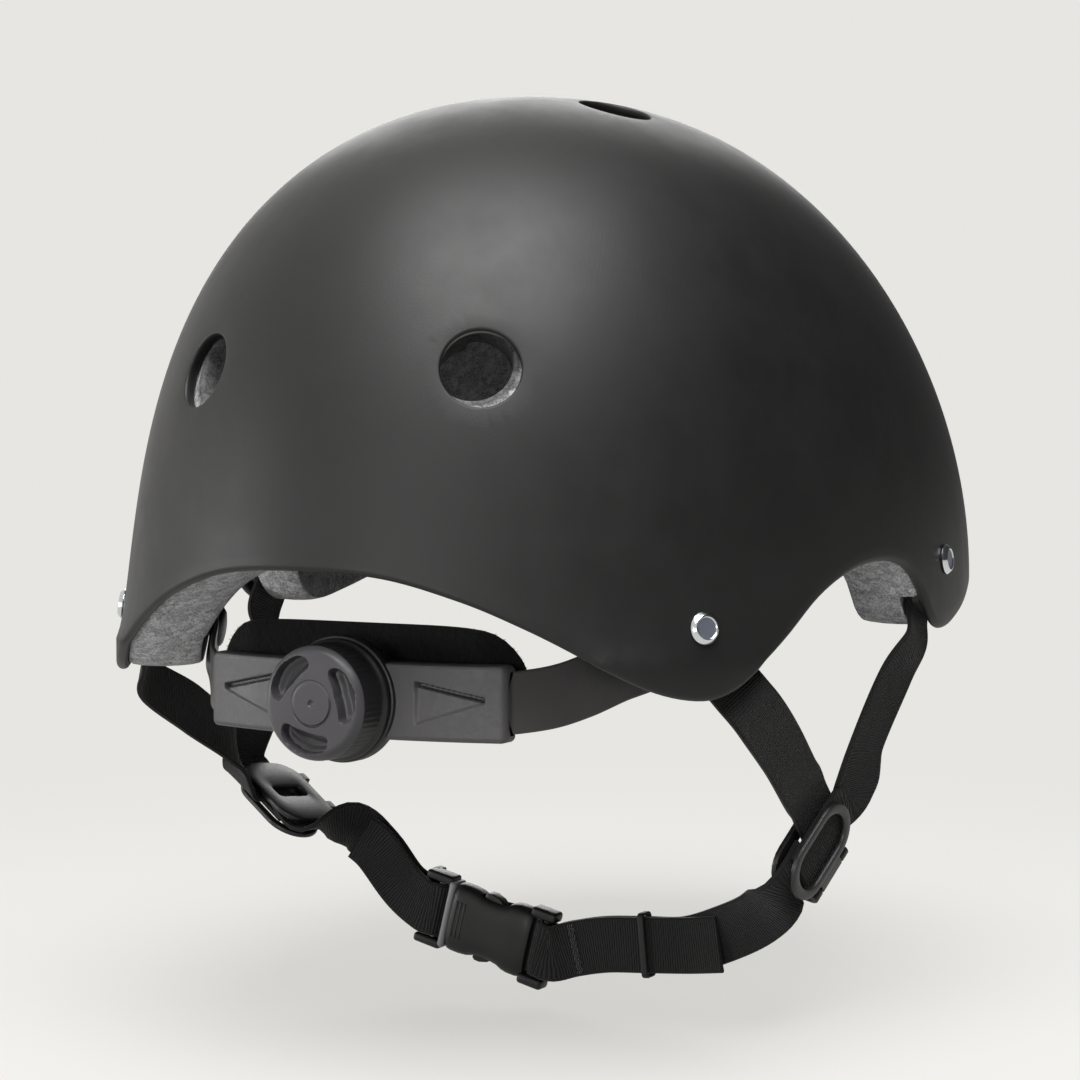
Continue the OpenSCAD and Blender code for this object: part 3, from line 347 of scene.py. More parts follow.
def bridged(outer, inner, outer_at, inner_at):
    """Triangles between two rows of points, from how far along each point is."""
    faces, i, j = [], 0, 0
    while i < len(outer) - 1 or j < len(inner) - 1:
        if j == len(inner) - 1 or (i < len(outer) - 1 and outer_at[i + 1] <= inner_at[j + 1]):
            faces.append((outer[i], outer[i + 1], inner[j]))
            i += 1
        else:
            faces.append((outer[i], inner[j + 1], inner[j]))
            j += 1
    return faces


def zip_loops(points, outer, inner, middle, way):
    """Triangles between two loops of points that both go round one axis."""
    first, second = axes_across(way)

    def turns(loop):
        """The loop from its first angle on, the right way round, and the angle of each point."""
        angles = []
        for k in loop:
            off = Vector(points[k]) - middle
            angle = math.atan2(off.dot(second), off.dot(first))
            while angles and angle - angles[-1] > math.pi:
                angle -= 2 * math.pi
            while angles and angle - angles[-1] < -math.pi:
                angle += 2 * math.pi
            angles.append(angle)
        if angles[-1] < angles[0]:
            loop, angles = loop[::-1], angles[::-1]
        low = min(range(len(loop)),
                  key=lambda k: abs((angles[k] + math.pi) % (2 * math.pi) - math.pi))
        turned_angles = angles[low:] + [a + 2 * math.pi for a in angles[:low]]
        base = turned_angles[0] - math.atan2(math.sin(turned_angles[0]), math.cos(turned_angles[0]))
        order = loop[low:] + loop[:low]
        return (order + order[:1],
                [a - base for a in turned_angles] + [turned_angles[0] - base + 2 * math.pi])

    outer, outer_at = turns(outer)
    inner, inner_at = turns(inner)
    return bridged(outer, inner, outer_at, inner_at)


rim_parts, hole_parts = 8, 72
hole_clear, hole_reach = 3.4, 12


def vented_layer(inset, thickness, rim_lift, rim_round, columns, rows, holes, hole_r, edge_r):
    """Points and faces of a dome layer with a rounded rim and round holes with eased edges."""
    profile = []
    for i in range(rows, 0, -1):
        profile.append((inset, math.sin(math.pi / 2 * i / rows), None))
    for k in range(rim_parts + 1):
        angle = math.pi * k / rim_parts
        profile.append((inset + thickness / 2 * (1 - math.cos(angle)), 0,
                        rim_round * (1 - math.sin(angle))))
    for i in range(1, rows + 1):
        profile.append((inset + thickness, math.sin(math.pi / 2 * i / rows), None))
    profile = [p for p in profile if not (p[2] is None and p[1] > 0.99999)]
    points, lines = [], []
    rims = [rim_height(360 * j / columns) + rim_lift for j in range(columns)]
    for depth, share, lift in profile:
        lines.append(len(points))
        top = base_z + crown_h - depth
        for j in range(columns):
            low = rims[j] + rim_round
            z = rims[j] + lift if lift is not None else low + (top - low) * share
            points.append(tuple(dome_point(360 * j / columns, z, depth)))
    crowns = []
    for depth in (inset, inset + thickness):
        crowns.append(len(points))
        points.append((0, crown_back, base_z + crown_h - depth))
    faces = []
    for low, high in zip(lines, lines[1:]):
        for j in range(columns):
            k = (j + 1) % columns
            faces.append((low + j, high + j, high + k, low + k))
    for crown, line in ((crowns[0], lines[0]), (crowns[1], lines[-1])):
        faces += [(crown, line + j, line + (j + 1) % columns) for j in range(columns)]
    for middle, way in holes:
        spots = np.array(points)
        off = spots - np.array(middle)
        along = off @ np.array(way)
        across = np.linalg.norm(off - np.outer(along, np.array(way)), axis=1)
        inside = (across < hole_r + hole_clear) & (np.abs(along) < thickness + inset + hole_reach)
        kept = [f for f in faces if not any(inside[k] for k in f)]
        cut = [f for f in faces if any(inside[k] for k in f)]
        rim_loops = open_loops(kept, cut)
        faces = kept
        first, second = axes_across(way)
        rings = []
        for depth, wider, drop in ((inset, edge_r, 0), (inset, 0.45 * edge_r, 0.12 * edge_r),
                                   (inset, 0.12 * edge_r, 0.45 * edge_r), (inset, 0, edge_r),
                                   (inset + thickness, 0, -edge_r), (inset + thickness, edge_r, 0)):
            start = len(points)
            for angle in round_angles(hole_parts):
                outward = first * math.cos(angle) + second * math.sin(angle)
                flat = middle + outward * (hole_r + wider)
                points.append(tuple(on_dome(flat, way, depth) - way * drop))
            rings.append(list(range(start, start + hole_parts)))
        for loop in rim_loops:
            from_top = [(Vector(points[k]) - middle).dot(way) for k in loop]
            near_side = sum(from_top) / len(loop) > -inset - thickness / 2 - 1
            faces += zip_loops(points, loop, rings[0] if near_side else rings[-1], middle, way)
        for a, b in zip(rings, rings[1:]):
            faces += [(a[k], b[k], b[(k + 1) % hole_parts], a[(k + 1) % hole_parts])
                      for k in range(hole_parts)]
    used = sorted({k for f in faces for k in f})
    place = {k: i for i, k in enumerate(used)}
    return [points[k] for k in used], [tuple(place[k] for k in f) for f in faces]


def surface(name, colour, roughness, **sockets):
    """A material, its shader, its nodes and the object's own places to lay patterns by."""
    material, shader = new_material(name, colour, roughness, **sockets)
    tree = material.node_tree
    return material, shader, tree, add_node(tree, "TexCoord").outputs["Object"]


def noise(tree, spot, scale, detail, roughness=0.5):
    return add_node(tree, "TexNoise", Vector=spot, Scale=scale, Detail=detail,
                    Roughness=roughness).outputs["Fac"]


def ramp(tree, level, first, last, stops=(0, 1)):
    """A colour that runs from one to another as a level runs between two stops."""
    made = add_node(tree, "ValToRGB", Fac=level)
    for end, stop, colour in zip(made.color_ramp.elements, stops, (first, last)):
        end.position, end.color = stop, colour
    return made.outputs["Color"]


def coloured(shader, level, first, last, stops=(0, 1)):
    tree = shader.id_data
    tree.links.new(ramp(tree, level, first, last, stops), shader.inputs["Base Color"])


def roughened(shader, level, seen, roughness):
    """Lets the roughness run over a range as a level runs over what is seen of it."""
    tree = shader.id_data
    rough = add_node(tree, "MapRange", Value=level, From_Min=seen[0], From_Max=seen[1],
                     To_Min=roughness[0], To_Max=roughness[1])
    tree.links.new(rough.outputs[0], shader.inputs["Roughness"])


def bumped(shader, height, strength, depth):
    tree = shader.id_data
    bumps = add_node(tree, "Bump", Strength=strength, Distance=depth, Height=height)
    tree.links.new(bumps.outputs["Normal"], shader.inputs["Normal"])


shell_material, shader, tree, spot = surface("matte_charcoal", tone(19), 0.48,
                                             Specular_IOR_Level=0.36)
coloured(shader, noise(tree, spot, 9, 3), tone(17), tone(21))
roughened(shader, noise(tree, spot, 60, 6, 0.65), (0.35, 0.7), (0.46, 0.54))
bumped(shader, noise(tree, spot, 1700, 1), 0.16, 0.00012)

shell_points, shell_faces = vented_layer(
    0, shell_t, rim_lift=0, rim_round=1.5, columns=360, rows=80,
    holes=vent_places(), hole_r=vent_r, edge_r=0.7)
shell = make_piece("shell", shell_points, shell_faces, shell_material, 50)
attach(shell, "helmet")
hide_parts("outer_shell")

# Foam liner. Moulded bead foam inside the shell, with a bore behind each vent, two long air
# channels, a pocket for each strap tab and a hole for each band stud.
liner_t, liner_gap = 19, 0.3
liner_out, liner_in = shell_t + liner_gap, shell_t + liner_t
channel_w, channel_deep, channel_x = 13, 7, 30
channel_from, channel_to, channel_marks = -88, 96, 15
bore_aside, bore_up = 2.2, 2.6
bore_light, bore_dark = 4, 9


def outline(length, width, corner, steps=6):
    """A rectangle with round corners, as points round it, as many for any size."""
    corner = max(0.01, min(corner, length / 2 - 0.01, width / 2 - 0.01))
    around = []
    for quarter, (x, y) in enumerate(((1, 1), (-1, 1), (-1, -1), (1, -1))):
        for k in range(steps + 1):
            angle = math.pi / 2 * (quarter + k / steps)
            around.append((x * (length / 2 - corner) + corner * math.cos(angle),
                           y * (width / 2 - corner) + corner * math.sin(angle)))
    return around


def lofted(rings, ends=True, closed=False):
    """Points and faces of a skin over rings that have as many points each."""
    count = len(rings[0])
    points = [p for ring in rings for p in ring]
    faces = []
    pairs = list(zip(range(len(rings)), range(1, len(rings))))
    if closed:
        pairs.append((len(rings) - 1, 0))
    for a, b in pairs:
        faces += [(a * count + k, a * count + (k + 1) % count,
                   b * count + (k + 1) % count, b * count + k) for k in range(count)]
    if ends and not closed:
        last = (len(rings) - 1) * count
        faces += [tuple(range(count)), tuple(range(last, last + count))]
    return points, faces


def placed(points, at, side, down, out):
    """Points carried so that X goes to side, Y to down and Z to out."""
    return [at + side * p[0] + down * p[1] + out * p[2] for p in points]


def rounded_slab(length, width, height, corner, ease, steps=6, ease_steps=3):
    """A plate with round corners and eased edges, from Z 0 up to its height."""
    rings = []
    for side in (0, 1):
        for k in range(ease_steps + 1):
            angle = math.pi / 2 * (k if side == 0 else ease_steps - k) / ease_steps
            pull = ease * (1 - math.sin(angle))
            lift = ease * (1 - math.cos(angle))
            z = lift if side == 0 else height - lift
            rings.append([(x, y, z) for x, y in
                          outline(length - 2 * pull, width - 2 * pull, corner - pull, steps)])
    return lofted(rings)


def merged(*parts):
    """Several lots of points and faces as one."""
    points, faces = [], []
    for more_points, more_faces in parts:
        faces += [tuple(k + len(points) for k in f) for f in more_faces]
        points += list(more_points)
    return points, faces


def cut_away(piece, points, faces, crease=35):
    """Takes the space inside some closed skins out of a piece."""
    cutter = make_piece("cutter", points, faces, piece.data.materials[0])
    change = piece.modifiers.new("cut", "BOOLEAN")
    change.operation, change.solver, change.object = "DIFFERENCE", "EXACT", cutter
    shaped = bpy.data.meshes.new_from_object(
        piece.evaluated_get(bpy.context.evaluated_depsgraph_get()))
    piece.modifiers.clear()
    piece.data = shaped
    shaped.shade_smooth()
    shaped.set_sharp_from_angle(angle=math.radians(crease))
    bpy.data.objects.remove(cutter)


def eased(a, b, c, d, u):
    """A smooth run from b to c, with a and d on either side."""
    return 0.5 * ((2 * b) + (c - a) * u + (2 * a - 5 * b + 4 * c - d) * u * u
                  + (3 * b - a - 3 * c + d) * u * u * u)


def route_at(route, t):
    """The place and the width direction at a point of a route."""
    i = min(int(t), len(route) - 2)
    around = [route[min(max(i + k, 0), len(route) - 1)] for k in (-1, 0, 1, 2)]
    return [eased(*(m[k] for m in around), t - i) for k in (0, 1)]


def swept(route, profile, parts):
    """A profile carried along a route of places and width directions. Gives its points and faces,
    and for each point how far it lies along and across."""
    count = (len(route) - 1) * parts
    rings, runs, run, last = [], [], 0, None
    for i in range(count + 1):
        here, width = route_at(route, i / parts)
        ahead = route_at(route, min(count, i + 0.5) / parts)[0]
        way = (ahead - route_at(route, max(0, i - 0.5) / parts)[0]).normalized()
        side = (width - width.dot(way) * way).normalized()
        out = way.cross(side)
        run += (here - last).length if last else 0
        last = here
        rings.append([here + side * x + out * y for x, y in profile])
        runs += [(run, x, 0) for x, y in profile]
    points, faces = lofted(rings)
    return points, faces, runs


def mirrored(points):
    return [Vector((-p[0], p[1], p[2])) for p in points]


def both_sides(points, faces):
    return merged((points, faces), (mirrored(points), faces))


def station(phi, z, way):
    """Where a strap is riveted: a point on the shell and the ways across, down and out."""
    out = dome_normal(phi, z, 0)
    fall = Vector(way)
    down = (fall - fall.dot(out) * out).normalized()
    return dome_point(phi, z, 0), down.cross(out), down, out


rear_station = station(51, 17.5, (4.5, -10.5, -13.5))
front_station = station(95, 29.5, (0, 4.5, -13))
tab_w, tab_t, tab_up = 17, 1.8, 5
tab_clear, tab_room = 1.2, 0.7
tab_low = -shell_t - tab_clear - tab_t
strap_depth = -tab_low + 0.3 + tab_room
pocket_deep = strap_depth + tab_room + tab_clear
plug_phi, plug_z, band_h = 55, 11, 15


def chord(phi, z):
    """The middle and the upright of a band that lies on the liner."""
    high, low = dome_point(phi, z + band_h / 2, liner_in), dome_point(phi, z - band_h / 2, liner_in)
    return (high + low) / 2, (high - low).normalized()


def chord_out(phi, z):
    return chord(phi, z)[1].cross(chord(phi + 0.5, z)[0] - chord(phi - 0.5, z)[0]).normalized()


def round_bar(at, way, low, high, radius, count=32):
    """A round bar along a direction, between two distances from a place."""
    first, second = axes_across(way)
    return lofted([[at + way * run + (first * math.cos(a) + second * math.sin(a)) * radius
                    for a in round_angles(count)] for run in (low, high)])


foam_material, shader, tree, spot = surface("bead_foam", tone(125), 0.85, Specular_IOR_Level=0.2)
bead_scale = 560
beads = add_node(tree, "TexVoronoi", Vector=spot, Scale=bead_scale)
edges = add_node(tree, "TexVoronoi", {"feature": "DISTANCE_TO_EDGE"}, Vector=spot, Scale=bead_scale)
seams = add_node(tree, "MapRange", Value=edges.outputs["Distance"], From_Min=0, From_Max=0.07,
                 To_Min=0.8, To_Max=1)
lots = add_node(tree, "SeparateColor", Color=beads.outputs["Color"])
speck = noise(tree, spot, 1700, 3, 0.8)
speckled = calc(tree, "MULTIPLY_ADD", speck, 5.5, lots.outputs[0])
grey = ramp(tree, calc(tree, "MULTIPLY_ADD", speckled, 0.42, -0.7), tone(70), tone(255))
bead_shade = mixed(tree, 1, grey, seams.outputs[0], "MULTIPLY")
# Painted shade: the bead colour is darkened by a level kept on the liner's inner face and bores.
painted_shade = add_node(tree, "Attribute", {"attribute_name": "painted_bore_shade"})
darker = add_node(tree, "VectorMath", {"operation": "SCALE"}, _0=bead_shade,
                  Scale=painted_shade.outputs["Fac"])
tree.links.new(darker.outputs[0], shader.inputs["Base Color"])
bumped(shader, calc(tree, "MULTIPLY_ADD", speck, 0.3, edges.outputs["Distance"]), 0.6, 0.0003)

bores = []
for middle, way in vent_places():
    aside = Vector((-math.copysign(bore_aside, middle.x), 0, 0))
    bores.append((middle + aside + Vector((0, 0, bore_up)), way))
liner_points, liner_faces = vented_layer(
    liner_out, liner_t - liner_gap, rim_lift=0.6, rim_round=1.2, columns=240, rows=50,
    holes=bores, hole_r=vent_r, edge_r=1.2)
liner = make_piece("liner", liner_points, liner_faces, foam_material, 40)
channel_route = []
for k in range(channel_marks):
    y = channel_from + (channel_to - channel_from) * k / (channel_marks - 1)
    deep = liner_in - channel_deep / 2 + 1
    z = dome_over(channel_x, y, deep)
    out = dome_normal(dome_angle(channel_x, y, z, deep), z, deep)
    channel_route.append((Vector((channel_x, y, z)), Vector((0, 1, 0)).cross(out)))
channel_profile = outline(channel_w, channel_deep + 2, 3, 3)
points, faces, _ = swept(channel_route, channel_profile, 3)
cut_away(liner, *both_sides(points, faces), 40)
pockets = []
pocket_l, pocket_room = 60, 3
for s in (rear_station, front_station):
    points, faces = rounded_slab(tab_w + pocket_room, pocket_l, pocket_deep + 3, 4, 1)
    low = pocket_l / 2 - tab_up - pocket_room
    points = [(p[0], p[1] + low, p[2] - pocket_deep) for p in points]
    pockets.append(both_sides(placed(points, *s), faces))
plug_at, plug_out = chord(plug_phi, plug_z)[0], chord_out(plug_phi, plug_z)
plug_r, plug_deep = 2.4, 12
pockets.append(both_sides(*round_bar(plug_at, plug_out, -4, plug_deep + 0.4, plug_r + 0.1)))
cut_away(liner, *merged(*pockets), 40)

# Painted shade on the foam: the inner face and the bores get less light than the ear arches.
spots = np.empty(len(liner.data.vertices) * 3)
liner.data.vertices.foreach_get("co", spots)
spots = spots.reshape(-1, 3) / MM
facing = np.empty(len(liner.data.vertices) * 3)
liner.data.vertices.foreach_get("normal", facing)
outward = spots - np.array((0, crown_back, 20))
outward /= np.linalg.norm(outward, axis=1, keepdims=True)
inward = np.clip((-(facing.reshape(-1, 3) * outward).sum(1) - 0.5) / 0.4, 0, 1)
shades = 1 - 0.6 * inward * inward * (3 - 2 * inward)
for middle, way in bores:
    off = spots - np.array(middle)
    depth = np.abs(off @ np.array(way))
    reach = np.linalg.norm(off - np.outer(off @ np.array(way), np.array(way)), axis=1)
    fall = np.clip((depth - bore_light) / (bore_dark - bore_light), 0, 1)
    inside = (reach < vent_r + 1.6) & (depth < 2 * liner_t)
    shades[inside] = np.minimum(shades, 0.14 - 0.1 * fall * fall * (3 - 2 * fall))[inside]
liner.data.attributes.new("painted_bore_shade", "FLOAT", "POINT").data.foreach_set("value", shades)
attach(liner, "helmet")
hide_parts("foam_liner")

# Comfort pads. Soft foam in black brushed cloth, sealed flat round the edge and sewn across, held
# to the liner by small discs of hook and loop.
pad_t = 7
pad_in = liner_in + 0.6 + 0.9 + 0.3
cloth, shader, tree, spot = surface("brushed_cloth", tone(26), 0.95, Sheen_Weight=0.2,
                                    Sheen_Roughness=0.5, Specular_IOR_Level=0.15)
loops = add_node(tree, "TexVoronoi", Vector=spot, Scale=1300)
fibre = noise(tree, spot, 700, 5, 0.7)
coloured(shader, fibre, tone(14), tone(30))
bumped(shader, calc(tree, "MULTIPLY_ADD", fibre, 0.7, loops.outputs["Distance"]), 0.6, 0.00035)
along_parts, end_parts = 40, 6


def pad_ring(length, width, corner):
    """A round cornered outline with its long and short sides cut into short steps."""
    corners = outline(length, width, corner)
    quarter = len(corners) // 4
    around = []
    for k, (x, y) in enumerate(corners):
        around.append((x, y))
        if (k + 1) % quarter == 0:
            parts = along_parts if (k // quarter) % 2 == 0 else end_parts
            nx, ny = corners[(k + 1) % len(corners)]
            around += [(x + (nx - x) * m / parts, y + (ny - y) * m / parts)
                       for m in range(1, parts)]
    return around


seal_t, climb_l = 0.9, 5
dip_deep, dip_wide = 0.62, 1.6


def pad_shape(length, width, corner, thick, dips, lay, flange=2.6):
    """A crowned pad with a flat sealed edge. lay carries length, width and depth to their place."""
    def depth(inward, along):
        climb = min(1, max(0, (inward - flange) / climb_l))
        crown = seal_t + (thick - seal_t) * (climb * climb * (3 - 2 * climb)) ** 0.7 * (
            0.88 + 0.12 * min(1, 2 * inward / width))
        for dip in dips:
            crown -= (crown - seal_t) * dip_deep * math.exp(-((along - dip) / dip_wide) ** 2)
        return crown

    half = width / 2 - 0.4
    inwards = [i for i in (0.5, 1.1, 1.9, 2.6, 3, 3.4, 4, 4.8, 5.8, 7, 8.4, 10, 12, 14)
               if i < half - 0.5]
    inwards.append(half)
    rings = []
    for back in (True, False):
        for inward in (reversed(inwards) if back else inwards):
            flat = pad_ring(length - 2 * inward, width - 2 * inward, corner - inward)
            rings.append([lay(x, y, 0.1 if back else depth(inward, x)) for x, y in flat])
        if back:
            rings.append([lay(x, y, 0.5) for x, y in pad_ring(length, width, corner)])
    points, faces = lofted(rings, ends=False)
    count = len(rings[0])
    mirror = count - end_parts
    span = 2 * (len(outline(1, 1, 0.1)) // 4) + along_parts - 2
    for start in (0, (len(rings) - 1) * count):
        faces += [tuple(start + k % count for k in (i, i + 1, mirror - i - 1, mirror - i))
                  for i in range(span)]
        faces.append(tuple(start + k % count for k in range(mirror, count + 1)))
        faces.append(tuple(start + k for k in range(span, mirror - span + 1)))
    return points, faces


def pad_piece(name, node, points, faces):
    made = make_piece(name, points, faces, cloth, 70)
    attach(made, "helmet")
    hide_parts(node)


def ring_pad(name, node, phi, spread, low, high, dips):
    """A pad that lies round the inside, between two heights."""
    middle = (low + high) / 2
    across = dome_point(phi + 2, middle, pad_in) - dome_point(phi - 2, middle, pad_in)
    per_degree = across.length / 4

    def lay(x, y, deep):
        return dome_point(phi + x / per_degree, middle + y, pad_in + deep)

    length = spread * per_degree
    pad_piece(name, node, *pad_shape(length, high - low, 9, pad_t, [d * length for d in dips], lay))


ring_pad("pad_front", "front_pad", 180, 62, 42, 66, (-1 / 6, 1 / 6))
ring_pad("pad_rear", "rear_pad", 0, 58, 42, 64, (-1 / 6, 1 / 6))
ring_pad("pad_side_left", "side_pad_left", 89, 45, 42, 64, (0,))
ring_pad("pad_side_right", "side_pad_right", -89, 45, 42, 64, (0,))
crown_length, crown_width = 118, 33
pad_piece("pad_crown", "crown_pad", *pad_shape(
    crown_length, crown_width, 14, pad_t, (-crown_length / 6, crown_length / 6),
    lambda x, y, deep: Vector((y, crown_back + x, dome_over(y, crown_back + x, pad_in + deep)))))

hook, shader, tree, spot = surface("hook_and_loop", tone(62), 0.9, Specular_IOR_Level=0.3)
hooks = add_node(tree, "TexVoronoi", Vector=spot, Scale=1100).outputs["Distance"]
coloured(shader, hooks, tone(86), tone(40))
bumped(shader, hooks, 0.9, 0.0004)


def dress(node, material):
    """Gives a CAD node its finish."""
    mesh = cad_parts[node].data
    mesh.materials.clear()
    mesh.materials.append(material)


dress("pad_fasteners", hook)

# Strap fixings. Each strap end is sewn round a plastic tab, and a bright two part rivet with a
# bevelled head holds the tab to the shell over a washer.
washer_low = tab_low - 0.1 - 0.8


def scratched(name, colour, roughness, scale, **sockets):
    """A polished metal with fine scratches and a little unevenness."""
    material, shader, tree, spot = surface(name, colour, roughness, Metallic=1, **sockets)
    marks = noise(tree, spot, scale, 5, 0.7)
    roughened(shader, marks, (0.3, 0.75), (roughness * 0.6, roughness * 1.6))
    bumped(shader, marks, 0.15, 0.0001)
    return material, shader


def moulded(name, colour, roughness, grain_scale, depth, **sockets):
    """Moulded plastic with a fine grain and faint mould flow in its colour."""
    material, shader, tree, spot = surface(name, colour, roughness, **sockets)
    darker, lighter = (tuple(c * by for c in colour[:3]) + (1,) for by in (0.88, 1.1))
    coloured(shader, noise(tree, spot, 45, 3), darker, lighter, (0.3, 0.7))
    grain = noise(tree, spot, grain_scale, 2)
    roughened(shader, grain, (0.3, 0.7), (roughness - 0.04, roughness + 0.05))
    bumped(shader, grain, 0.25, depth)
    return material


def turned(profile, count=72):
    """A round solid from a profile of radius and height. The first and last radius are 0."""
    rings = [[(r * math.cos(a), r * math.sin(a), z) for a in round_angles(count)]
             for r, z in profile[1:-1]]
    points, faces = lofted(rings, ends=False)
    for start, (_, z) in ((0, profile[0]), ((len(rings) - 1) * count, profile[-1])):
        faces += [(start + k, start + (k + 1) % count, len(points)) for k in range(count)]
        points.append((0, 0, z))
    return points, faces


bright, _ = scratched("rivet_chrome", tone(206, 208, 212), 0.14, 900)
# Painted reflection: the rivet face is the rim's metal, painted darker blue-grey and half metal.
painted_reflection_face, shader = scratched("rivet_face_painted_reflection", tone(112, 118, 130), 0.38, 1500)
shader.inputs["Metallic"].default_value = 0.5
head, shank = 3.9, 2
rivet_profile = [
    (0, washer_low - 1.3), (2.6, washer_low - 1.3), (3.1, washer_low - 1.1),
    (3.25, washer_low - 0.7), (3.2, washer_low - 0.1), (shank, washer_low - 0.1), (shank, 0.15),
    (head - 0.2, 0.12), (head, 0.25), (head + 0.02, 0.5), (head - 0.12, 0.72), (head - 0.75, 1.42),
    (head - 0.95, 1.56), (head - 1.15, 1.58), (head - 1.3, 1.5), (head - 1.42, 1.34),
    (head - 1.6, 1.3), (1.2, 1.32), (0, 1.33)]
rivet_points, rivet_faces = turned(rivet_profile)
one_side = [(placed(rivet_points, *s), rivet_faces) for s in (rear_station, front_station)]
rivets = make_piece("rivets", *both_sides(*merged(*one_side)), bright, 30)
rivets.data.materials.append(painted_reflection_face)
# The flat middle of each head takes the painted reflection.
for polygon in rivets.data.polygons:
    for station_at, _, _, out in (rear_station, front_station):
        off = Vector((abs(polygon.center.x), *polygon.center.yz)) / MM - station_at
        if off.dot(out) > 1.2 and (off - off.dot(out) * out).length < head - 1.45:
            polygon.material_index = 1
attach(rivets, "helmet")
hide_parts("strap_rivets")
dress("rivet_washers", scratched("washer_steel", tone(150, 151, 154), 0.32, 500)[0])
black_plastic = moulded("black_fitting_plastic", tone(26), 0.44, 1400, 0.00012,
                        Specular_IOR_Level=0.35)
dress("strap_tabs", black_plastic)

# Straps. Black nylon webbing, 15 mm wide, woven in fine ribs across with a firm edge, from the
# tabs down to the strap divider under each ear.
web_w, web_t = 15, 1.4
rib_mm, yarn_mm, firm_edge = 0.72, 0.5, 6.7
webbing_material, shader = new_material("ribbed_webbing", tone(30), 0.74, Specular_IOR_Level=0.24,
                                        Sheen_Weight=0.08, Sheen_Roughness=0.4)
tree = webbing_material.node_tree
laid = add_node(tree, "Attribute", {"attribute_name": "laid"}).outputs["Vector"]
parts = add_node(tree, "SeparateXYZ", Vector=laid)
along, across = parts.outputs["X"], parts.outputs["Y"]
uneven = calc(tree, "MULTIPLY_ADD", noise(tree, laid, 0.6, 2), 0.35, along)
ribs = calc(tree, "SINE", calc(tree, "MULTIPLY", uneven, 2 * math.pi / rib_mm))
yarns = calc(tree, "SINE", calc(tree, "MULTIPLY", across, 2 * math.pi / yarn_mm))
in_edge = calc(tree, "GREATER_THAN", calc(tree, "ABSOLUTE", across), firm_edge)
relief = add_node(tree, "Mix", {"data_type": "FLOAT"}, Factor=in_edge,
                  _2=calc(tree, "MULTIPLY_ADD", yarns, 0.25, ribs), _3=yarns).outputs[0]
bumped(shader, relief, 0.85, 0.00016)
level = calc(tree, "MULTIPLY_ADD", relief, 0.28, noise(tree, laid, 2.4, 3))
coloured(shader, level, tone(12), tone(34), (0.2, 0.85))

web_edge = [(2, 0.58), (5.9, 0.6), (6.6, 0.72), (7.15, 0.68), (7.42, 0.5), (7.5, 0.2)]
web_profile = ([(-x, -y) for x, y in web_edge[::-1]] + [(x, -y) for x, y in web_edge]
               + web_edge[::-1] + [(-x, y) for x, y in web_edge])


def strap_piece(name, node, route, parts=10, mirror=False, body="helmet"):
    """Webbing along a route. Its weave follows the length and width kept with each point."""
    points, faces, laid_at = swept(route, web_profile, parts)
    made = make_piece(name, mirrored(points) if mirror else points, faces, webbing_material, 60)
    kept = made.data.attributes.new("laid", "FLOAT_VECTOR", "POINT")
    kept.data.foreach_set("vector", [c for p in laid_at for c in p])
    if body:
        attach(made, body)
    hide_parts(node)
    return made


def divider_pose(at, out, up):
    face = Vector(out).normalized()
    rise = (Vector(up) - Vector(up).dot(face) * face).normalized()
    return Vector(at), face, rise, face.cross(rise)


def in_divider(pose, up, across, out):
    return pose[0] + up * pose[2] + across * pose[3] + out * pose[1]


divider_x, divider_l, divider_w, divider_t = 81.5, 28, 19, 1.6
pose_left = divider_pose((divider_x, 11, -43), (0.5, -0.05, -0.86), (0.84, -0.26, 0.46))
pose_right = divider_pose((divider_x, 11, -44.8), (0.97, 0.156, -0.187), (0.244, -0.656, 0.715))
under, over = -0.75, 0.95


def strap_run(s, runs):
    return [(s[0] + run * s[2] - strap_depth * s[3], s[1]) for run in runs]


def rear_route(pose, marks):
    return (strap_run(rear_station, (8, 17, 27)) + marks
            + [(in_divider(pose, 6.6, across, under), pose[2])
               for across in (-divider_w / 2 - 1.5, -4, 3)])


def front_route(pose, marks):
    return (strap_run(front_station, (8, 15, 22)) + marks
            + [(in_divider(pose, up, 0, over), pose[3]) for up in (divider_l / 2, 4, -8)])


def mark(place, width):
    """A point of a strap's route: its place and the direction of its width."""
    return Vector(place), Vector(width)


rear_marks_left = [
    mark((88.5, 46, -14), (0.1, -0.78, 0.6)), mark((87, 29, -25), (0.4, -0.62, 0.65)),
    (in_divider(pose_left, 7, -15, -4.4), pose_left[2])]
rear_marks_right = [
    mark((88, 46, -14.5), (0.3, -0.67, 0.68)), mark((85.5, 29, -25), (0.26, -0.66, 0.7)),
    (in_divider(pose_right, 6, -17, 0.3), pose_right[2])]
front_marks_left = [
    mark((99, -8, 0), (0, -0.95, -0.25)), mark((97.5, -4, -15), (-0.1, -0.97, -0.15)),
    (in_divider(pose_left, 22.5, 0, -2), pose_left[3]),
    (in_divider(pose_left, 18, 0, 0.4), pose_left[3])]
front_marks_right = [
    mark((98.4, -2.8, -1), (0.15, -0.95, -0.3)), mark((92.4, 2.2, -19), (0.1, -0.9, -0.4)),
    (in_divider(pose_right, 19, 0, 1.8), pose_right[3])]
strap_piece("strap_back_left", "strap_rear_left", rear_route(pose_left, rear_marks_left))
strap_piece("strap_back_right", "strap_rear_right", rear_route(pose_right, rear_marks_right),
            mirror=True)
strap_piece("strap_ear_left", "strap_front_left", front_route(pose_left, front_marks_left))
strap_piece("strap_ear_right", "strap_front_right", front_route(pose_right, front_marks_right),
            mirror=True)

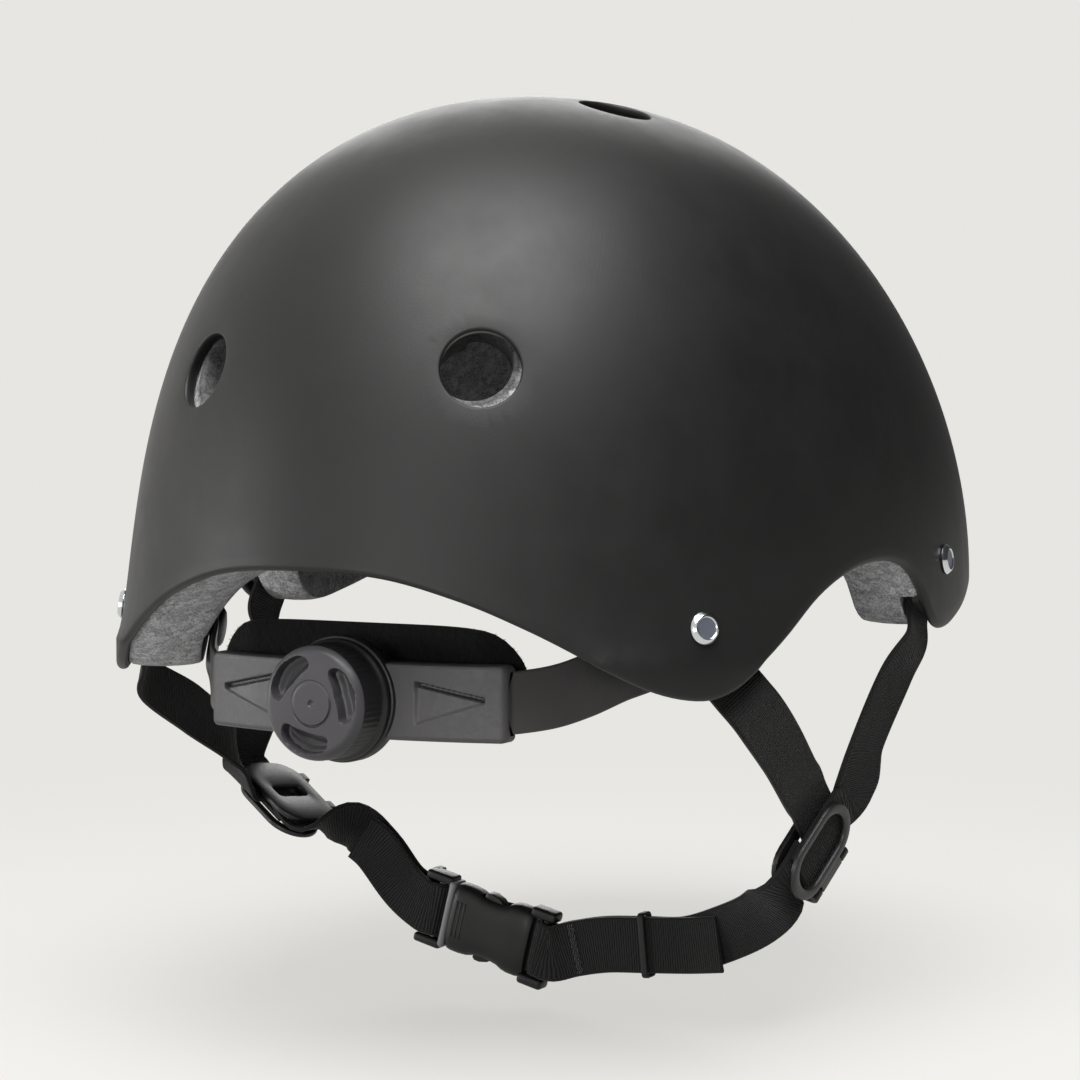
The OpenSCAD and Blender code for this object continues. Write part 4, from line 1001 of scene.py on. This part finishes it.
# Chin straps. The same webbing, doubled: each turns round a bar of the buckle and lies back on
# itself, sewn down on the right side, where a thin rubber keeper holds the loose end.
bar_r, fold_clear = 1.3, 0.3
buckle_at = Vector((17, 8, -74.2))
buckle_turn = math.radians(14)
buckle_way = Vector((math.cos(buckle_turn), 0, math.sin(buckle_turn)))
buckle_rise = Vector((-buckle_way.z, 0, buckle_way.x))
near = Vector((0, -1, 0))
socket_l, socket_end = 25, 10
socket_start = socket_end - socket_l
turn_r = bar_r + 0.25 + web_t / 2
male_from, block_l = socket_end + 0.3, 2
male_bar = male_from + block_l + turn_r + web_t / 2 + fold_clear
female_bar = socket_start - turn_r - web_t / 2 - fold_clear
layer = web_t / 2 + fold_clear
down = (0, 0, -1)


def turn_round(at, way):
    """The marks of a strap that turns back round a bar, 4 mm past it on both sides."""
    y = Vector((0, 1, 0))
    places = [at + 4 * way - y * turn_r]
    for angle in (math.radians(a) for a in range(0, 181, 30)):
        places.append(at - turn_r * (math.sin(angle) * way + math.cos(angle) * y))
    return [(place, -buckle_rise) for place in places + [at + 4 * way + y * turn_r]]


def shifted(marks, back):
    return [(place + Vector((0, back, 0)), width) for place, width in marks]


right_bar = buckle_at + female_bar * buckle_way
right_marks = [mark(right_bar + Vector((-10.5, 0.3, 1)), down), mark((-21, 8.7, -75.5), down),
               mark((-33, 9.1, -74.4), down), mark((-45, 9.5, -73.3), down)]
chin_right = (
    [mirrored((in_divider(pose_right, up, 0, under), pose_right[3])) for up in (-3, -divider_l / 2)]
    + [mark((-69, 15.5, -62.5), (-0.15, -0.45, -0.87)),
       mark((-58, 11.5, -68.4), (-0.1, -0.2, -0.97))]
    + shifted(right_marks[::-1], -layer) + turn_round(right_bar, -buckle_way)
    + shifted(right_marks, layer) + [mark((-56, 11.6 + layer, -71.6), down)])
strap_piece("strap_chin_right", "chin_strap_right", chin_right, 6)

left_bar = buckle_at + male_bar * buckle_way
left_marks = [(left_bar + Vector((11, 0.3, 5.4)), Vector((0.5, 0, -0.87)).normalized()),
              mark((51, 9.2, -55.4), (0.58, 0, -0.8)),
              mark((59.5, 10.2, -49.2), (0.5, -0.1, -0.85))]
chin_left = (
    [(in_divider(pose_left, up, 0, under), pose_left[3]) for up in (-3, -divider_l / 2)]
    + shifted(left_marks[::-1], -layer) + turn_round(left_bar, buckle_way)
    + shifted(left_marks[:2], layer) + [mark((55.5, 10.4 + layer, -51.8), (0.55, -0.1, -0.8))])
slack = strap_piece("strap_chin_left", "chin_strap_left", chin_left, 6, body=None)
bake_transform(slack)

rubber = moulded("keeper_rubber_black", tone(20), 0.6, 900, 0.0002, Specular_IOR_Level=0.3)
keeper_l, keeper_wall = 1.9, 0.85
keeper_way = (right_marks[3][0] - right_marks[1][0]).normalized()
inside_t, inside_h = 2 * layer + web_t + 0.6, web_w + 0.8


def hoop(inner, outer, low, high, ease, corners, steps=6):
    """A ring with a rectangular opening and eased edges, from one height to another."""
    rings = []
    soft = 0.3 * ease
    for size, corner, pull, z in (
            (outer, corners[1], 0, low + ease), (outer, corners[1], 0, high - ease),
            (outer, corners[1], soft, high - soft), (outer, corners[1], ease, high),
            (inner, corners[0], -ease, high), (inner, corners[0], -soft, high - soft),
            (inner, corners[0], 0, high - ease), (inner, corners[0], 0, low + ease),
            (inner, corners[0], -soft, low + soft), (inner, corners[0], -ease, low),
            (outer, corners[1], ease, low), (outer, corners[1], soft, low + soft)):
        rings.append([(x, y, z) for x, y in
                      outline(size[0] - 2 * pull, size[1] - 2 * pull, corner - pull, steps)])
    return lofted(rings, closed=True)


points, faces = hoop((inside_h, inside_t), (inside_h + 2 * keeper_wall, inside_t + 2 * keeper_wall),
                     -keeper_l / 2, keeper_l / 2, 0.35, (0.6, 1.4))
keeper_up = keeper_way.cross(near).normalized()
points = placed(points, right_marks[2][0], keeper_up, near, keeper_way)
keeper = make_piece("keeper_ring", points, faces, rubber, 50)
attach(keeper, "keeper")
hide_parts("strap_keeper")

# Strap dividers. Under each ear a moulded plate carries both straps, and a hinged lid, an open
# oval ring with a rolled rim, snaps down over them and grips them. Its pin turns in two ears.
divider_floor = under - web_t / 2 - 0.15
divider_roof = over + web_t / 2 + 0.3
floor_low = divider_floor - divider_t
hinge_x, hinge_z, hinge_r, pin_r = divider_w / 2 + 1, divider_roof - 0.8, 1.8, 0.9
knuckle_l, ear_l, ear_from = 10, 3.4, 5.2
lid_reach = divider_w / 2 - 0.8
rib_step, rib_top = 1.2, floor_low + 1.62


def block(low, high, ease):
    """A box between two corners with eased edges."""
    size = [b - a for a, b in zip(low, high)]
    points, faces = rounded_slab(*size, max(ease, 0.05), ease, 3)
    return [((low[0] + high[0]) / 2 + p[0], (low[1] + high[1]) / 2 + p[1], low[2] + p[2])
            for p in points], faces


def moved(shape, x=0, y=0, z=0):
    return [(p[0] + x, p[1] + y, p[2] + z) for p in shape[0]], shape[1]


def barrel(x, low, high, z, radius, ease=0.3):
    """A round bar along Y with eased ends."""
    profile = [(0, low), (radius - ease, low), (radius, low + ease), (radius, high - ease),
               (radius - ease, high), (0, high)]
    points, faces = turned(profile, 40)
    return [(x + p[0], p[2], z - p[1]) for p in points], faces


lid_plastic = moulded("black_lid_plastic", tone(36, 35, 36), 0.4, 1300, 0.0001,
                      Specular_IOR_Level=0.4)


def divider_pieces(side, pose, flipped):
    def carry(shape):
        points = placed(shape[0], pose[0], pose[3], pose[2], pose[1])
        return (mirrored(points) if flipped else points), shape[1]

    plate = hoop((web_w - 4, 5), (divider_w + 1, divider_l), floor_low, floor_low + divider_t, 0.5,
                 (1.5, 7))
    shapes = [moved(plate, x=0.5)]
    for low in (-8 + rib_step * k for k in range(13)):
        shapes.append(block((low, -11.6, floor_low + 1.2), (low + 0.5, -6.4, rib_top), 0.12))
    for low in (ear_from, -ear_from - ear_l):
        high = low + ear_l
        shapes.append(barrel(hinge_x, low, high, hinge_z, hinge_r))
        shapes.append(block((hinge_x - 0.9, low, floor_low + 0.1),
                            (hinge_x + hinge_r, high, hinge_z), 0.3))
        shapes.append(block((hinge_x - hinge_r, low, floor_low + 0.02),
                            (hinge_x + hinge_r, high, divider_floor), 0.3))
    base = make_piece("divider_plate_" + side, *carry(merged(*shapes)), black_plastic, 40)
    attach(base, "helmet")
    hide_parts("divider_" + side)

    ring = hoop((2 * lid_reach - 5.6, divider_l - 6.2), (2 * lid_reach - 0.4, divider_l),
                divider_roof, divider_roof + divider_t, 0.72, (5.8, 8.3), 12)
    lid = [moved(ring, x=-0.6),
           block((lid_reach - 2.4, -knuckle_l / 2, divider_roof + 0.05),
                 (hinge_x + 0.2, knuckle_l / 2, divider_roof + divider_t - 0.6), 0.3),
           barrel(hinge_x, -knuckle_l / 2, knuckle_l / 2, hinge_z, hinge_r),
           barrel(hinge_x, -ear_from - ear_l, ear_from + ear_l, hinge_z, pin_r, 0.15)]
    cover = make_piece("divider_ring_" + side, *carry(merged(*lid)), lid_plastic, 40)
    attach(cover, "lid_" + side)
    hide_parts("divider_lid_" + side)


divider_pieces("left", pose_left, False)
divider_pieces("right", pose_right, True)

# Buckle. A side release buckle in black plastic: a hollow socket with a waist and two side
# windows, a fork with springy prongs, and a grey ladder bar that the left strap is threaded round.
buckle_w, buckle_t, slot_h = 20, 8, 4.4
buckle_wall = 2.2


def in_buckle(points):
    return placed(points, buckle_at, buckle_way, buckle_rise, near)


def oval_ring(run, half_width, half_depth, power=3.2, count=64):
    """A squared oval across the buckle at a distance along it."""
    around = []
    for angle in round_angles(count):
        c, s = math.cos(angle), math.sin(angle)
        around.append((run, math.copysign(abs(c) ** (2 / power), c) * half_width,
                       math.copysign(abs(s) ** (2 / power), s) * half_depth))
    return around


socket_marks = [
    (-15, 7.6, 2.6), (-14.8, 8.7, 3.2), (-14, 9.6, 3.6), (-12.4, 10, 3.85), (-10, 10, 4),
    (-8.2, 9.7, 4), (-6.6, 9.0, 4), (-4, 8.6, 3.95), (-1, 8.6, 3.9), (1.6, 8.9, 3.9),
    (3.4, 9.5, 3.95), (6, 9.8, 4), (8.4, 9.8, 4), (9.5, 9.6, 3.85), (9.9, 9.3, 3.6), (10, 8.8, 3.2)]
black_gloss = moulded("buckle_black", tone(22), 0.42, 1100, 0.0001, Specular_IOR_Level=0.3)
points, faces = lofted([oval_ring(*m) for m in socket_marks])
socket = make_piece("buckle_socket", in_buckle(points), faces, black_gloss, 40)
hollow = block((socket_end - 22, buckle_wall - buckle_w / 2, -slot_h / 2),
               (socket_end + 8, buckle_w / 2 - buckle_wall, slot_h / 2), 0.4)
windows = block((socket_end - 17, -buckle_w, -slot_h / 2),
                (socket_end - 8, buckle_w, slot_h / 2), 0.4)
for points, faces in (hollow, windows):
    cut_away(socket, in_buckle(points), faces, 35)
cheek_l = socket_start - female_bar + bar_r + 1.2
arms = []
for side in (-1, 1):
    middle = side * (web_w / 2 + 2.1)
    arms.append(block((socket_start - 0.5 - cheek_l, middle - 1.5, -2.6),
                      (socket_start + 1.5, middle + 1.5, 2.6), 1))
arms.append(moved(barrel(0, -web_w / 2 - 2, web_w / 2 + 2, 0, bar_r), x=female_bar))
grip_at, grip_rise = 3.9, 0.22
for face in (-grip_at, grip_at):
    for start in (5.4 + 1.3 * k for k in range(3)):
        arms.append(block((start, -5.2, face - grip_rise),
                          (start + 0.6, 5.2, face + grip_rise), 0.2))
points, faces = merged(*arms)
frame_end = make_piece("buckle_socket_frame", in_buckle(points), faces, black_gloss, 40)
for made in (socket, frame_end):
    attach(made, "helmet")
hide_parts("buckle_female")

rail_l, rail_in, rail_t = 8, web_w / 2 + 0.5, 2.6
turn_top = turn_r + web_t / 2 + fold_clear
rail_end = male_from + rail_l + block_l
bridge_from, bridge_top = rail_end - 2.4, turn_top + 1.2
fork = [block((male_from - 17, -1.6, -1.6), (male_from + 0.5, 1.6, 1.6), 0.5)]
for low in (-rail_in - rail_t, rail_in):
    high = low + rail_t
    fork.append(block((male_from + block_l - 0.6, low, -2.8), (rail_end, high, 2.8), 0.9))
    fork.append(block((bridge_from, low, 0), (rail_end, high, bridge_top), 0.6))
fork.append(block((bridge_from, -rail_in - 1, turn_top), (rail_end, rail_in + 1, bridge_top), 0.5))
points, faces = merged(*fork)
male = make_piece("buckle_fork", in_buckle(points), faces, black_gloss, 40)
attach(male, "male")
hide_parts("buckle_male")
grey_bar = moulded("ladder_bar_grey", tone(140, 141, 143), 0.4, 900, 0.0001, Specular_IOR_Level=0.5)
points, faces = block((male_from, -buckle_w / 2 + 0.5, -buckle_t / 2 + 0.6),
                      (male_from + block_l, buckle_w / 2 - 0.5, buckle_t / 2 - 0.6), 0.85)
ladder = make_piece("buckle_ladder", in_buckle(points), faces, grey_bar, 40)
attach(ladder, "male")
dress("buckle_bar", scratched("bar_steel", tone(150, 150, 153), 0.3, 600)[0])


def extruded(shape, low, high, ease):
    """A flat outline drawn up between two heights, with eased edges."""
    count = len(shape)
    area = sum(a[0] * b[1] - b[0] * a[1] for a, b in zip(shape, shape[1:] + shape[:1]))
    turn = 1 if area > 0 else -1

    def pulled(by):
        around = []
        for k in range(count):
            a, b, c = (Vector(shape[(k + d) % count]) for d in (-1, 0, 1))
            first, second = (b - a).normalized(), (c - b).normalized()
            inward = (Vector((-first.y, first.x)) + Vector((-second.y, second.x))) * turn
            inward = inward.normalized() / max(0.5, math.cos(first.angle(second) / 2))
            around.append(b + inward * by)
        return around

    return lofted([[(p.x, p.y, z) for p in pulled(by)] for by, z in (
        (ease, low), (0.3 * ease, low + 0.3 * ease), (0, low + ease), (0, high - ease),
        (0.3 * ease, high - 0.3 * ease), (ease, high))])


prong_in, window_out = buckle_w / 2 - buckle_wall - 0.4, buckle_w / 2
for name, node, body, side in (("prong_top", "prong_upper", "prong_top", 1),
                               ("prong_bottom", "prong_lower", "prong_bottom", -1)):
    flat = [(male_from - 0.3, prong_in - 2.6), (male_from - 0.3, prong_in),
            (socket_end - 8.6, prong_in - 0.2), (socket_end - 8.7, window_out - 0.8),
            (socket_end - 9.4, window_out - 0.2), (socket_end - 11, window_out - 0.15),
            (socket_end - 13.4, window_out - 0.9), (socket_end - 16.4, prong_in - 0.6),
            (socket_end - 17, prong_in - 2), (socket_end - 12, prong_in - 2.4)]
    half = slot_h / 2 - 0.4
    points, faces = extruded([(x, side * y) for x, y in flat], -half, half, 0.35)
    made = make_piece("buckle_" + name, in_buckle(points), faces, black_gloss, 40)
    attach(made, body)
    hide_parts(node)

# Stitching. Bar tacks of black thread hold the doubled webbing together beside the buckle's socket.
thread, shader, tree, spot = surface("bonded_thread", tone(52), 0.55, Sheen_Weight=0.2)
ply = add_node(tree, "TexWave", Vector=spot, Scale=900, Distortion=1.5).outputs["Fac"]
coloured(shader, ply, tone(34), tone(66))
bumped(shader, ply, 0.5, 0.0001)
tack_rows, row_gap, row_stitches, stitch_gap = 3, 0.07, 15, 0.9
stitch_shape = ((-0.52, 0.06), (-0.42, 0.16), (0, 0.2), (0.42, 0.16), (0.52, 0.06))


def bar_tack(name, route, start):
    """Short raised stitches in rows across a strap, on the face that looks away from its double."""
    shapes = []
    for row in range(tack_rows):
        for k in range(row_stitches):
            t = start + row_gap * (row + 0.5 * (k % 2))
            here, width = route_at(route, t)
            way = (route_at(route, t + 0.1)[0] - route_at(route, t - 0.1)[0]).normalized()
            side = (width - width.dot(way) * way).normalized()
            out = way.cross(side)
            middle = here + side * (-6.3 + stitch_gap * k) - out * (web_t / 2 + 0.02)
            slant = (side + way * (0.45 if k % 2 else -0.45)).normalized()
            lean = out.cross(slant)
            shapes.append(lofted([
                [middle + slant * run + (lean * math.cos(a) + out * math.sin(a)) * radius
                 for a in round_angles(8)]
                for run, radius in stitch_shape]))
    made = make_piece(name, *merged(*shapes), thread, 60)
    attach(made, "helmet")


bar_tack("tack_chin_outer", chin_right, 17)
bar_tack("tack_chin_inner", chin_right, 6.86)

# Fit dial housing. A curved moulding in satin dark grey plastic, with a recessed arrow in each
# wing and a round boss for the knob. A black plate closes it behind, and two racks and a pinion
# run between them.
housing_l, housing_h, housing_y, housing_r = 84, 18.5, 109, 130
curve_mid = housing_y - housing_r
dial_z = -0.8
wall, band_t, back_t = 2, 1.6, 1.6
rack_top_y = housing_y - 5.2
rack_step = band_t + 0.2
rack_low_y = rack_top_y - rack_step
floor_y = rack_low_y - rack_step
knob_d, knob_h = 29.5, 12
boss_y = housing_y + 0.2
satin = moulded("satin_grey_plastic", tone(72, 70, 72), 0.46, 900, 0.00012,
                Specular_IOR_Level=0.45)


def smooth_step(value, low, high):
    u = min(1, max(0, (value - low) / (high - low)))
    return u * u * (3 - 2 * u)


def arrow_depth(x, z):
    """How deep the wing's arrow is pressed in. A deeper slot runs along its upper edge."""
    base_x, tip_x, upper, lower, tip_z = 20.2, 37, 5.2, -5.2, 0.9
    run = (abs(x) - base_x) / (tip_x - base_x)
    high = upper + (tip_z + 0.8 - upper) * run
    low = lower + (tip_z - 0.8 - lower) * run
    inside = min(abs(x) - base_x, (tip_x - abs(x)) * 0.8, high - z, z - low)
    across = (z - low) / max(0.5, high - low)
    slot = smooth_step(high - z, 0, 0.5) * (1 - smooth_step(high - z, 1, 1.6))
    return smooth_step(inside, 0, 0.4) * (0.3 + 0.35 * across + 1.05 * slot)


corner_r, edge_r = 1.6, 0.9
lip_front, lip_in, lip_back = 2.2, 3.4, 4.2


def cover_points():
    """Rings of the cover's wall, each round it from behind below and back inside."""
    ends = np.array((40.4, 41.1, 41.6, 41.9, 42))
    columns = np.concatenate((-ends[:0:-1], np.linspace(-ends[0], ends[0], 203), ends[1:]))
    heights = np.linspace(-1, 1, 61)
    rings = []
    for x in columns:
        past_end = max(0, abs(x) - (housing_l / 2 - corner_r))
        half = housing_h / 2 - (corner_r - math.sqrt(max(0, corner_r ** 2 - past_end ** 2)))
        past_edge = max(0, abs(x) - (housing_l / 2 - edge_r)) / edge_r
        fall = edge_r * (1 - math.sqrt(max(0, 1 - past_edge ** 2)))

        def at(depth, z):
            r = housing_r - depth
            return (x, curve_mid + math.sqrt(r * r - x * x), dial_z + z)

        ring = [at(lip_back, -half), at(lip_front, -half), at(1.1 + fall, -half),
                at(0.55 + fall, -half + 0.12), at(0.2 + fall, -half + 0.4)]
        flat = half - 1.05
        ring += [at(fall + arrow_depth(x, flat * h), flat * h) for h in heights]
        ring += [at(0.2 + fall, half - 0.4), at(0.55 + fall, half - 0.12), at(1.1 + fall, half),
                 at(lip_front, half), at(lip_back, half)]
        inner = min(7.8, half - 0.1)
        deep = max(wall, fall + 0.3)
        ring += [at(depth, z) for depth, z in (
            (lip_back, inner), (lip_in, inner), (deep, inner), (deep, 0), (deep, -inner),
            (lip_in, -inner), (lip_back, -inner))]
        rings.append(ring)
    return rings


rings = cover_points()
points, faces = lofted(rings, ends=False)
count = len(rings[0])
inner_count = 7
outer_count = count - inner_count
for start in (0, (len(rings) - 1) * count):
    inner_loop = range(start + count - 1, start + outer_count - 1, -1)
    outer_loop = range(start, start + outer_count)
    faces += bridged(outer_loop, inner_loop, range(0, outer_count * inner_count, inner_count),
                     range(0, outer_count * inner_count, outer_count))
boss_r, well_r = knob_d / 2 + 0.6, 12.6
boss, boss_faces = turned([
    (0, -4), (boss_r - 0.2, -4), (boss_r, -3.6), (boss_r, -0.5), (boss_r - 0.15, -0.15),
    (boss_r - 0.5, 0), (well_r, 0), (well_r, 2), (well_r - 1, 2), (well_r - 1.1, 0.05),
    (3.3, 0), (0, 0)], 120)
boss = [(p[0], boss_y + p[2], dial_z - p[1]) for p in boss]
cover = make_piece("dial_housing", *merged((points, faces), (boss, boss_faces)), satin, 32)
# Painted shade: the boss takes the black plastic, for the shade round the knob.
cover.data.materials.append(black_plastic)
for polygon in cover.data.polygons[len(faces):]:
    polygon.material_index = 1
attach(cover, "adjuster")
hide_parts("dial_cover")
dress("dial_back", black_plastic)
gear_plastic = moulded("gear_plastic_white", tone(196, 195, 188), 0.45, 700, 0.0001)
dress("dial_pinion", gear_plastic)
dress("detent_spring", gear_plastic)
dress("dial_screw", scratched("screw_steel", tone(160, 161, 164), 0.3, 700)[0])
nylon = moulded("nylon_band", tone(60, 58, 58), 0.4, 1200, 0.0001, Specular_IOR_Level=0.45)
dress("rack_left", nylon)
dress("rack_right", nylon)

# Knob. Satin dark grey plastic, with three deep finger recesses in its face, fine ribs round its
# side and a small moulded ring and gate mark at its middle.
knob_low = boss_y + 0.3
knob_plastic = moulded("knob_plastic", tone(64, 62, 65), 0.42, 900, 0.0001,
                       Specular_IOR_Level=0.45)
finger_turns = [math.radians(a) for a in (46, 166, 286)]
finger_from, finger_l, finger_w = 9.6, 4.6, 2.75
ring_r, gate_turn = 5.4, math.radians(200)
rib_count, rib_deep = 60, 0.256
face_parts = 240
around_knob = round_angles(face_parts)


def knob_face(radius, angle):
    """Height of the knob's face at a radius and an angle from the top."""
    rim = knob_d / 2 - 1.1
    drop = 0.25 * (radius / rim) ** 2 + 1.5 * max(0, (radius - rim + 2.2) / 2.2) ** 2.4
    for middle in finger_turns:
        off = (angle - middle + math.pi) % (2 * math.pi) - math.pi
        aside, outward = radius * math.sin(off), radius * math.cos(off)
        if outward > 0:
            bend = outward + 0.035 * aside ** 2
            long_way = max(0, abs(aside) - finger_l)
            inside = finger_w - 0.12 * abs(aside) - math.hypot(long_way, bend - finger_from)
            drop += smooth_step(inside, -0.12, 0.4) * (2.8 + 0.8 * smooth_step(inside, 0.4, 2.2))
    ring = 1 - smooth_step(abs(radius - ring_r), 0.1, 0.42)
    drop += 0.45 * ring * (0.35 + 0.65 * smooth_step(math.cos(angle - gate_turn), -0.3, 0.5))
    drop += 0.5 * (1 - smooth_step(radius, 0.5, 1))
    return knob_h - drop


def knob_spot(radius, angle, height):
    return (radius * math.sin(angle), knob_low + height, dial_z + radius * math.cos(angle))


radii = np.concatenate((np.linspace(0.25, 5, 15), np.linspace(5.1, 5.9, 9),
                        np.linspace(6.1, 13.3, 46), [13.45, 13.6, 13.65]))
rings = [[knob_spot(radius, a, knob_face(radius, a)) for a in around_knob] for radius in radii]
side_marks = [
    (13.72, knob_h - 2.1, 0), (13.78, knob_h - 2.6, 0.5), (13.84, knob_h - 3.2, 1), (13.84, 3.4, 1),
    (13.84, 2.8, 0.4), (13.86, 2.2, 0), (14.1, 1.75, 0), (14.6, 1.5, 0), (14.75, 1.2, 0),
    (14.75, 0.3, 0), (14.6, 0.05, 0), (14.3, 0, 0), (13, 0, 0), (12.9, 0.1, 0), (12.9, 2.4, 0),
    (3, 2.4, 0), (3, -5.4, 0), (2.2, -5.5, 0), (2.2, -8.6, 0), (0.6, -8.6, 0)]
for radius, height, ribbed in side_marks:
    deep = rib_deep * ribbed / 2
    rings.append([knob_spot(radius - deep * (1 - math.cos(rib_count * a)), a, height)
                  for a in around_knob])
points, faces = lofted(rings)
knob = make_piece("knob", points, faces, knob_plastic, 38)
# Painted shade: the knob's side and flange take the black plastic, as they lie in shadow.
knob.data.materials.append(black_plastic)
for polygon in knob.data.polygons:
    if polygon.center.y / MM < knob_low + knob_h - 2.3:
        wide = math.hypot(polygon.center.x / MM, polygon.center.z / MM - dial_z)
        polygon.material_index = 1 if wide > 13.5 else 0
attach(knob, "dial")
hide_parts("dial_knob")

# Bands. Smooth bent nylon, from the racks through the wings to a stud pressed into each rear lobe
# of the liner.
rack_out, fit = 22, 0.3
tip_at, wing_at = 28, (32, 36, housing_l / 2 - 2)
upright = Vector((0, 0, 1))
plug_way = plug_out.cross(chord(plug_phi, plug_z)[1])
plug_seat = plug_at - (band_t / 2 + 1.1) * plug_out


def wing_point(x):
    r = housing_r - wall - 0.3 - band_t / 2
    return Vector((x, curve_mid + math.sqrt(r * r - x * x), dial_z))


def liner_mark(phi, z, clear):
    middle, up = chord(phi, z)
    return middle - (band_t / 2 + clear) * chord_out(phi, z), up


def band_route(y):
    plug_up = chord(plug_phi, plug_z)[1]
    return ([(Vector((rack_out + fit, y, dial_z)), upright),
             (Vector((tip_at, (y + wing_point(tip_at).y) / 2, dial_z)), upright)]
            + [(wing_point(x), upright) for x in wing_at]
            + [(dome_point(34.7, 0.4, liner_in + 1.2), upright),
               (dome_point(40, 2.6, liner_in + 2.4), upright),
               liner_mark(45, 6.2, 1.6), liner_mark(49.5, 8.8, 1)]
            + [(plug_seat + run * plug_way, plug_up) for run in (-6, 0, 7.5)])


band_profile = outline(band_h, band_t - 0.3, 0.55, 4)
for side, y, body in (("left", rack_top_y - band_t / 2, "rack_l"),
                      ("right", rack_low_y - band_t / 2, "rack_r")):
    points, faces, _ = swept(band_route(y), band_profile, 10)
    made = make_piece("nylon_band_" + side, points if side == "left" else mirrored(points), faces,
                      nylon, 50)
    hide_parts("band_" + side)
    across = 1 if side == "left" else -1
    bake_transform(made)

stud = turned([
    (0, -4.5), (2.6, -4.45), (4.3, -4.1), (5.0, -3.6), (5.2, -3.2), (5.1, -3.02), (plug_r, -3),
    (plug_r, plug_deep - 0.6), (plug_r - 0.5, plug_deep), (0, plug_deep)], 48)
points = placed(stud[0], plug_at, *axes_across(plug_out), plug_out)
studs = make_piece("band_studs", *both_sides(points, stud[1]), black_plastic, 40)
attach(studs, "helmet")
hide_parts("band_plugs")

# Nape pad. A soft foam cushion in black brushed fleece, between the housing and the head, with a
# short pile that stands up along its edges.
nape_low, nape_high, nape_l, nape_t = -10, 17, housing_l + 3, 7.5
nape_face = housing_r - wall - band_t - 0.7 - back_t - 0.5
fleece, shader, tree, spot = surface("black_fleece", tone(20), 1, Sheen_Weight=0.12,
                                     Sheen_Roughness=0.6, Specular_IOR_Level=0.1)
tufts = noise(tree, spot, 520, 6, 0.75)
coloured(shader, tufts, tone(5), tone(17), (0.35, 0.7))
bumped(shader, tufts, 0.9, 0.0006)


def on_nape(x, y, deep):
    """The cushion's outline narrows to its ends, and it lies flat on the plate behind the dial."""
    back = curve_mid + math.sqrt(nape_face ** 2 - x * x)
    front = curve_mid + math.sqrt((nape_face - nape_t) ** 2 - x * x)
    flat = floor_y - back_t - 0.45
    behind = min(back, flat) - smooth_step(31.5 - abs(x), 0, 1) * 0.02
    taper = math.sqrt(max(0.05, 1 - 0.6 * abs(2 * x / nape_l) ** 6))
    return Vector((x, behind + (front - behind) * deep / nape_t,
                   (nape_low + nape_high) / 2 + y * taper))


points, faces = pad_shape(nape_l, nape_high - nape_low, 10, nape_t, (), on_nape, 1.2)
nape = make_piece("nape_cushion", points, faces, fleece, 75)
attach(nape, "adjuster")
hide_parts("nape_pad")

fibres, seed = 6000, 7
dice = np.random.default_rng(seed)
skin = nape.data
skin_points = np.array([v.co for v in skin.vertices]) / MM
triangles = []
for polygon in skin.polygons:
    corners = polygon.vertices
    triangles += [(corners[0], corners[k], corners[k + 1]) for k in range(1, len(corners) - 1)]
a, b, c = (skin_points[[t[k] for t in triangles]] for k in range(3))
normals = np.cross(b - a, c - a)
sizes = np.linalg.norm(normals, axis=1)


def unit(rows):
    return rows / np.linalg.norm(rows, axis=1)[:, None]


chosen = dice.choice(len(triangles), fibres, p=sizes / sizes.sum())
u, v = dice.random(fibres), dice.random(fibres)
over_one = u + v > 1
u[over_one], v[over_one] = 1 - u[over_one], 1 - v[over_one]
roots = a[chosen] + (b - a)[chosen] * u[:, None] + (c - a)[chosen] * v[:, None]
ways = unit(normals[chosen] / sizes[chosen][:, None] + dice.normal(0, 0.45, (fibres, 3)))
sideways = unit(np.cross(ways, dice.normal(0, 1, (fibres, 3))))
crossways = np.cross(ways, sideways)
long = dice.uniform(0.4, 1.0, fibres)[:, None]
clear = (np.abs(roots[:, 0]) > 31) | (roots[:, 1] < floor_y - back_t - 1.6)
points, faces = [], []
for root, way, side, beside, length in zip(*(rows[clear] for rows in
                                             (roots, ways, sideways, crossways, long))):
    start, foot = len(points), root - way * 0.1
    points += [foot + side * 0.08, foot - side * 0.04 + beside * 0.07,
               foot - side * 0.04 - beside * 0.07, root + way * length]
    faces += [tuple(start + k for k in f) for f in ((0, 2, 1), (0, 1, 3), (1, 2, 3), (2, 0, 3))]
pile = make_piece("nape_pile", points, faces, fleece, 180)
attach(pile, "adjuster")
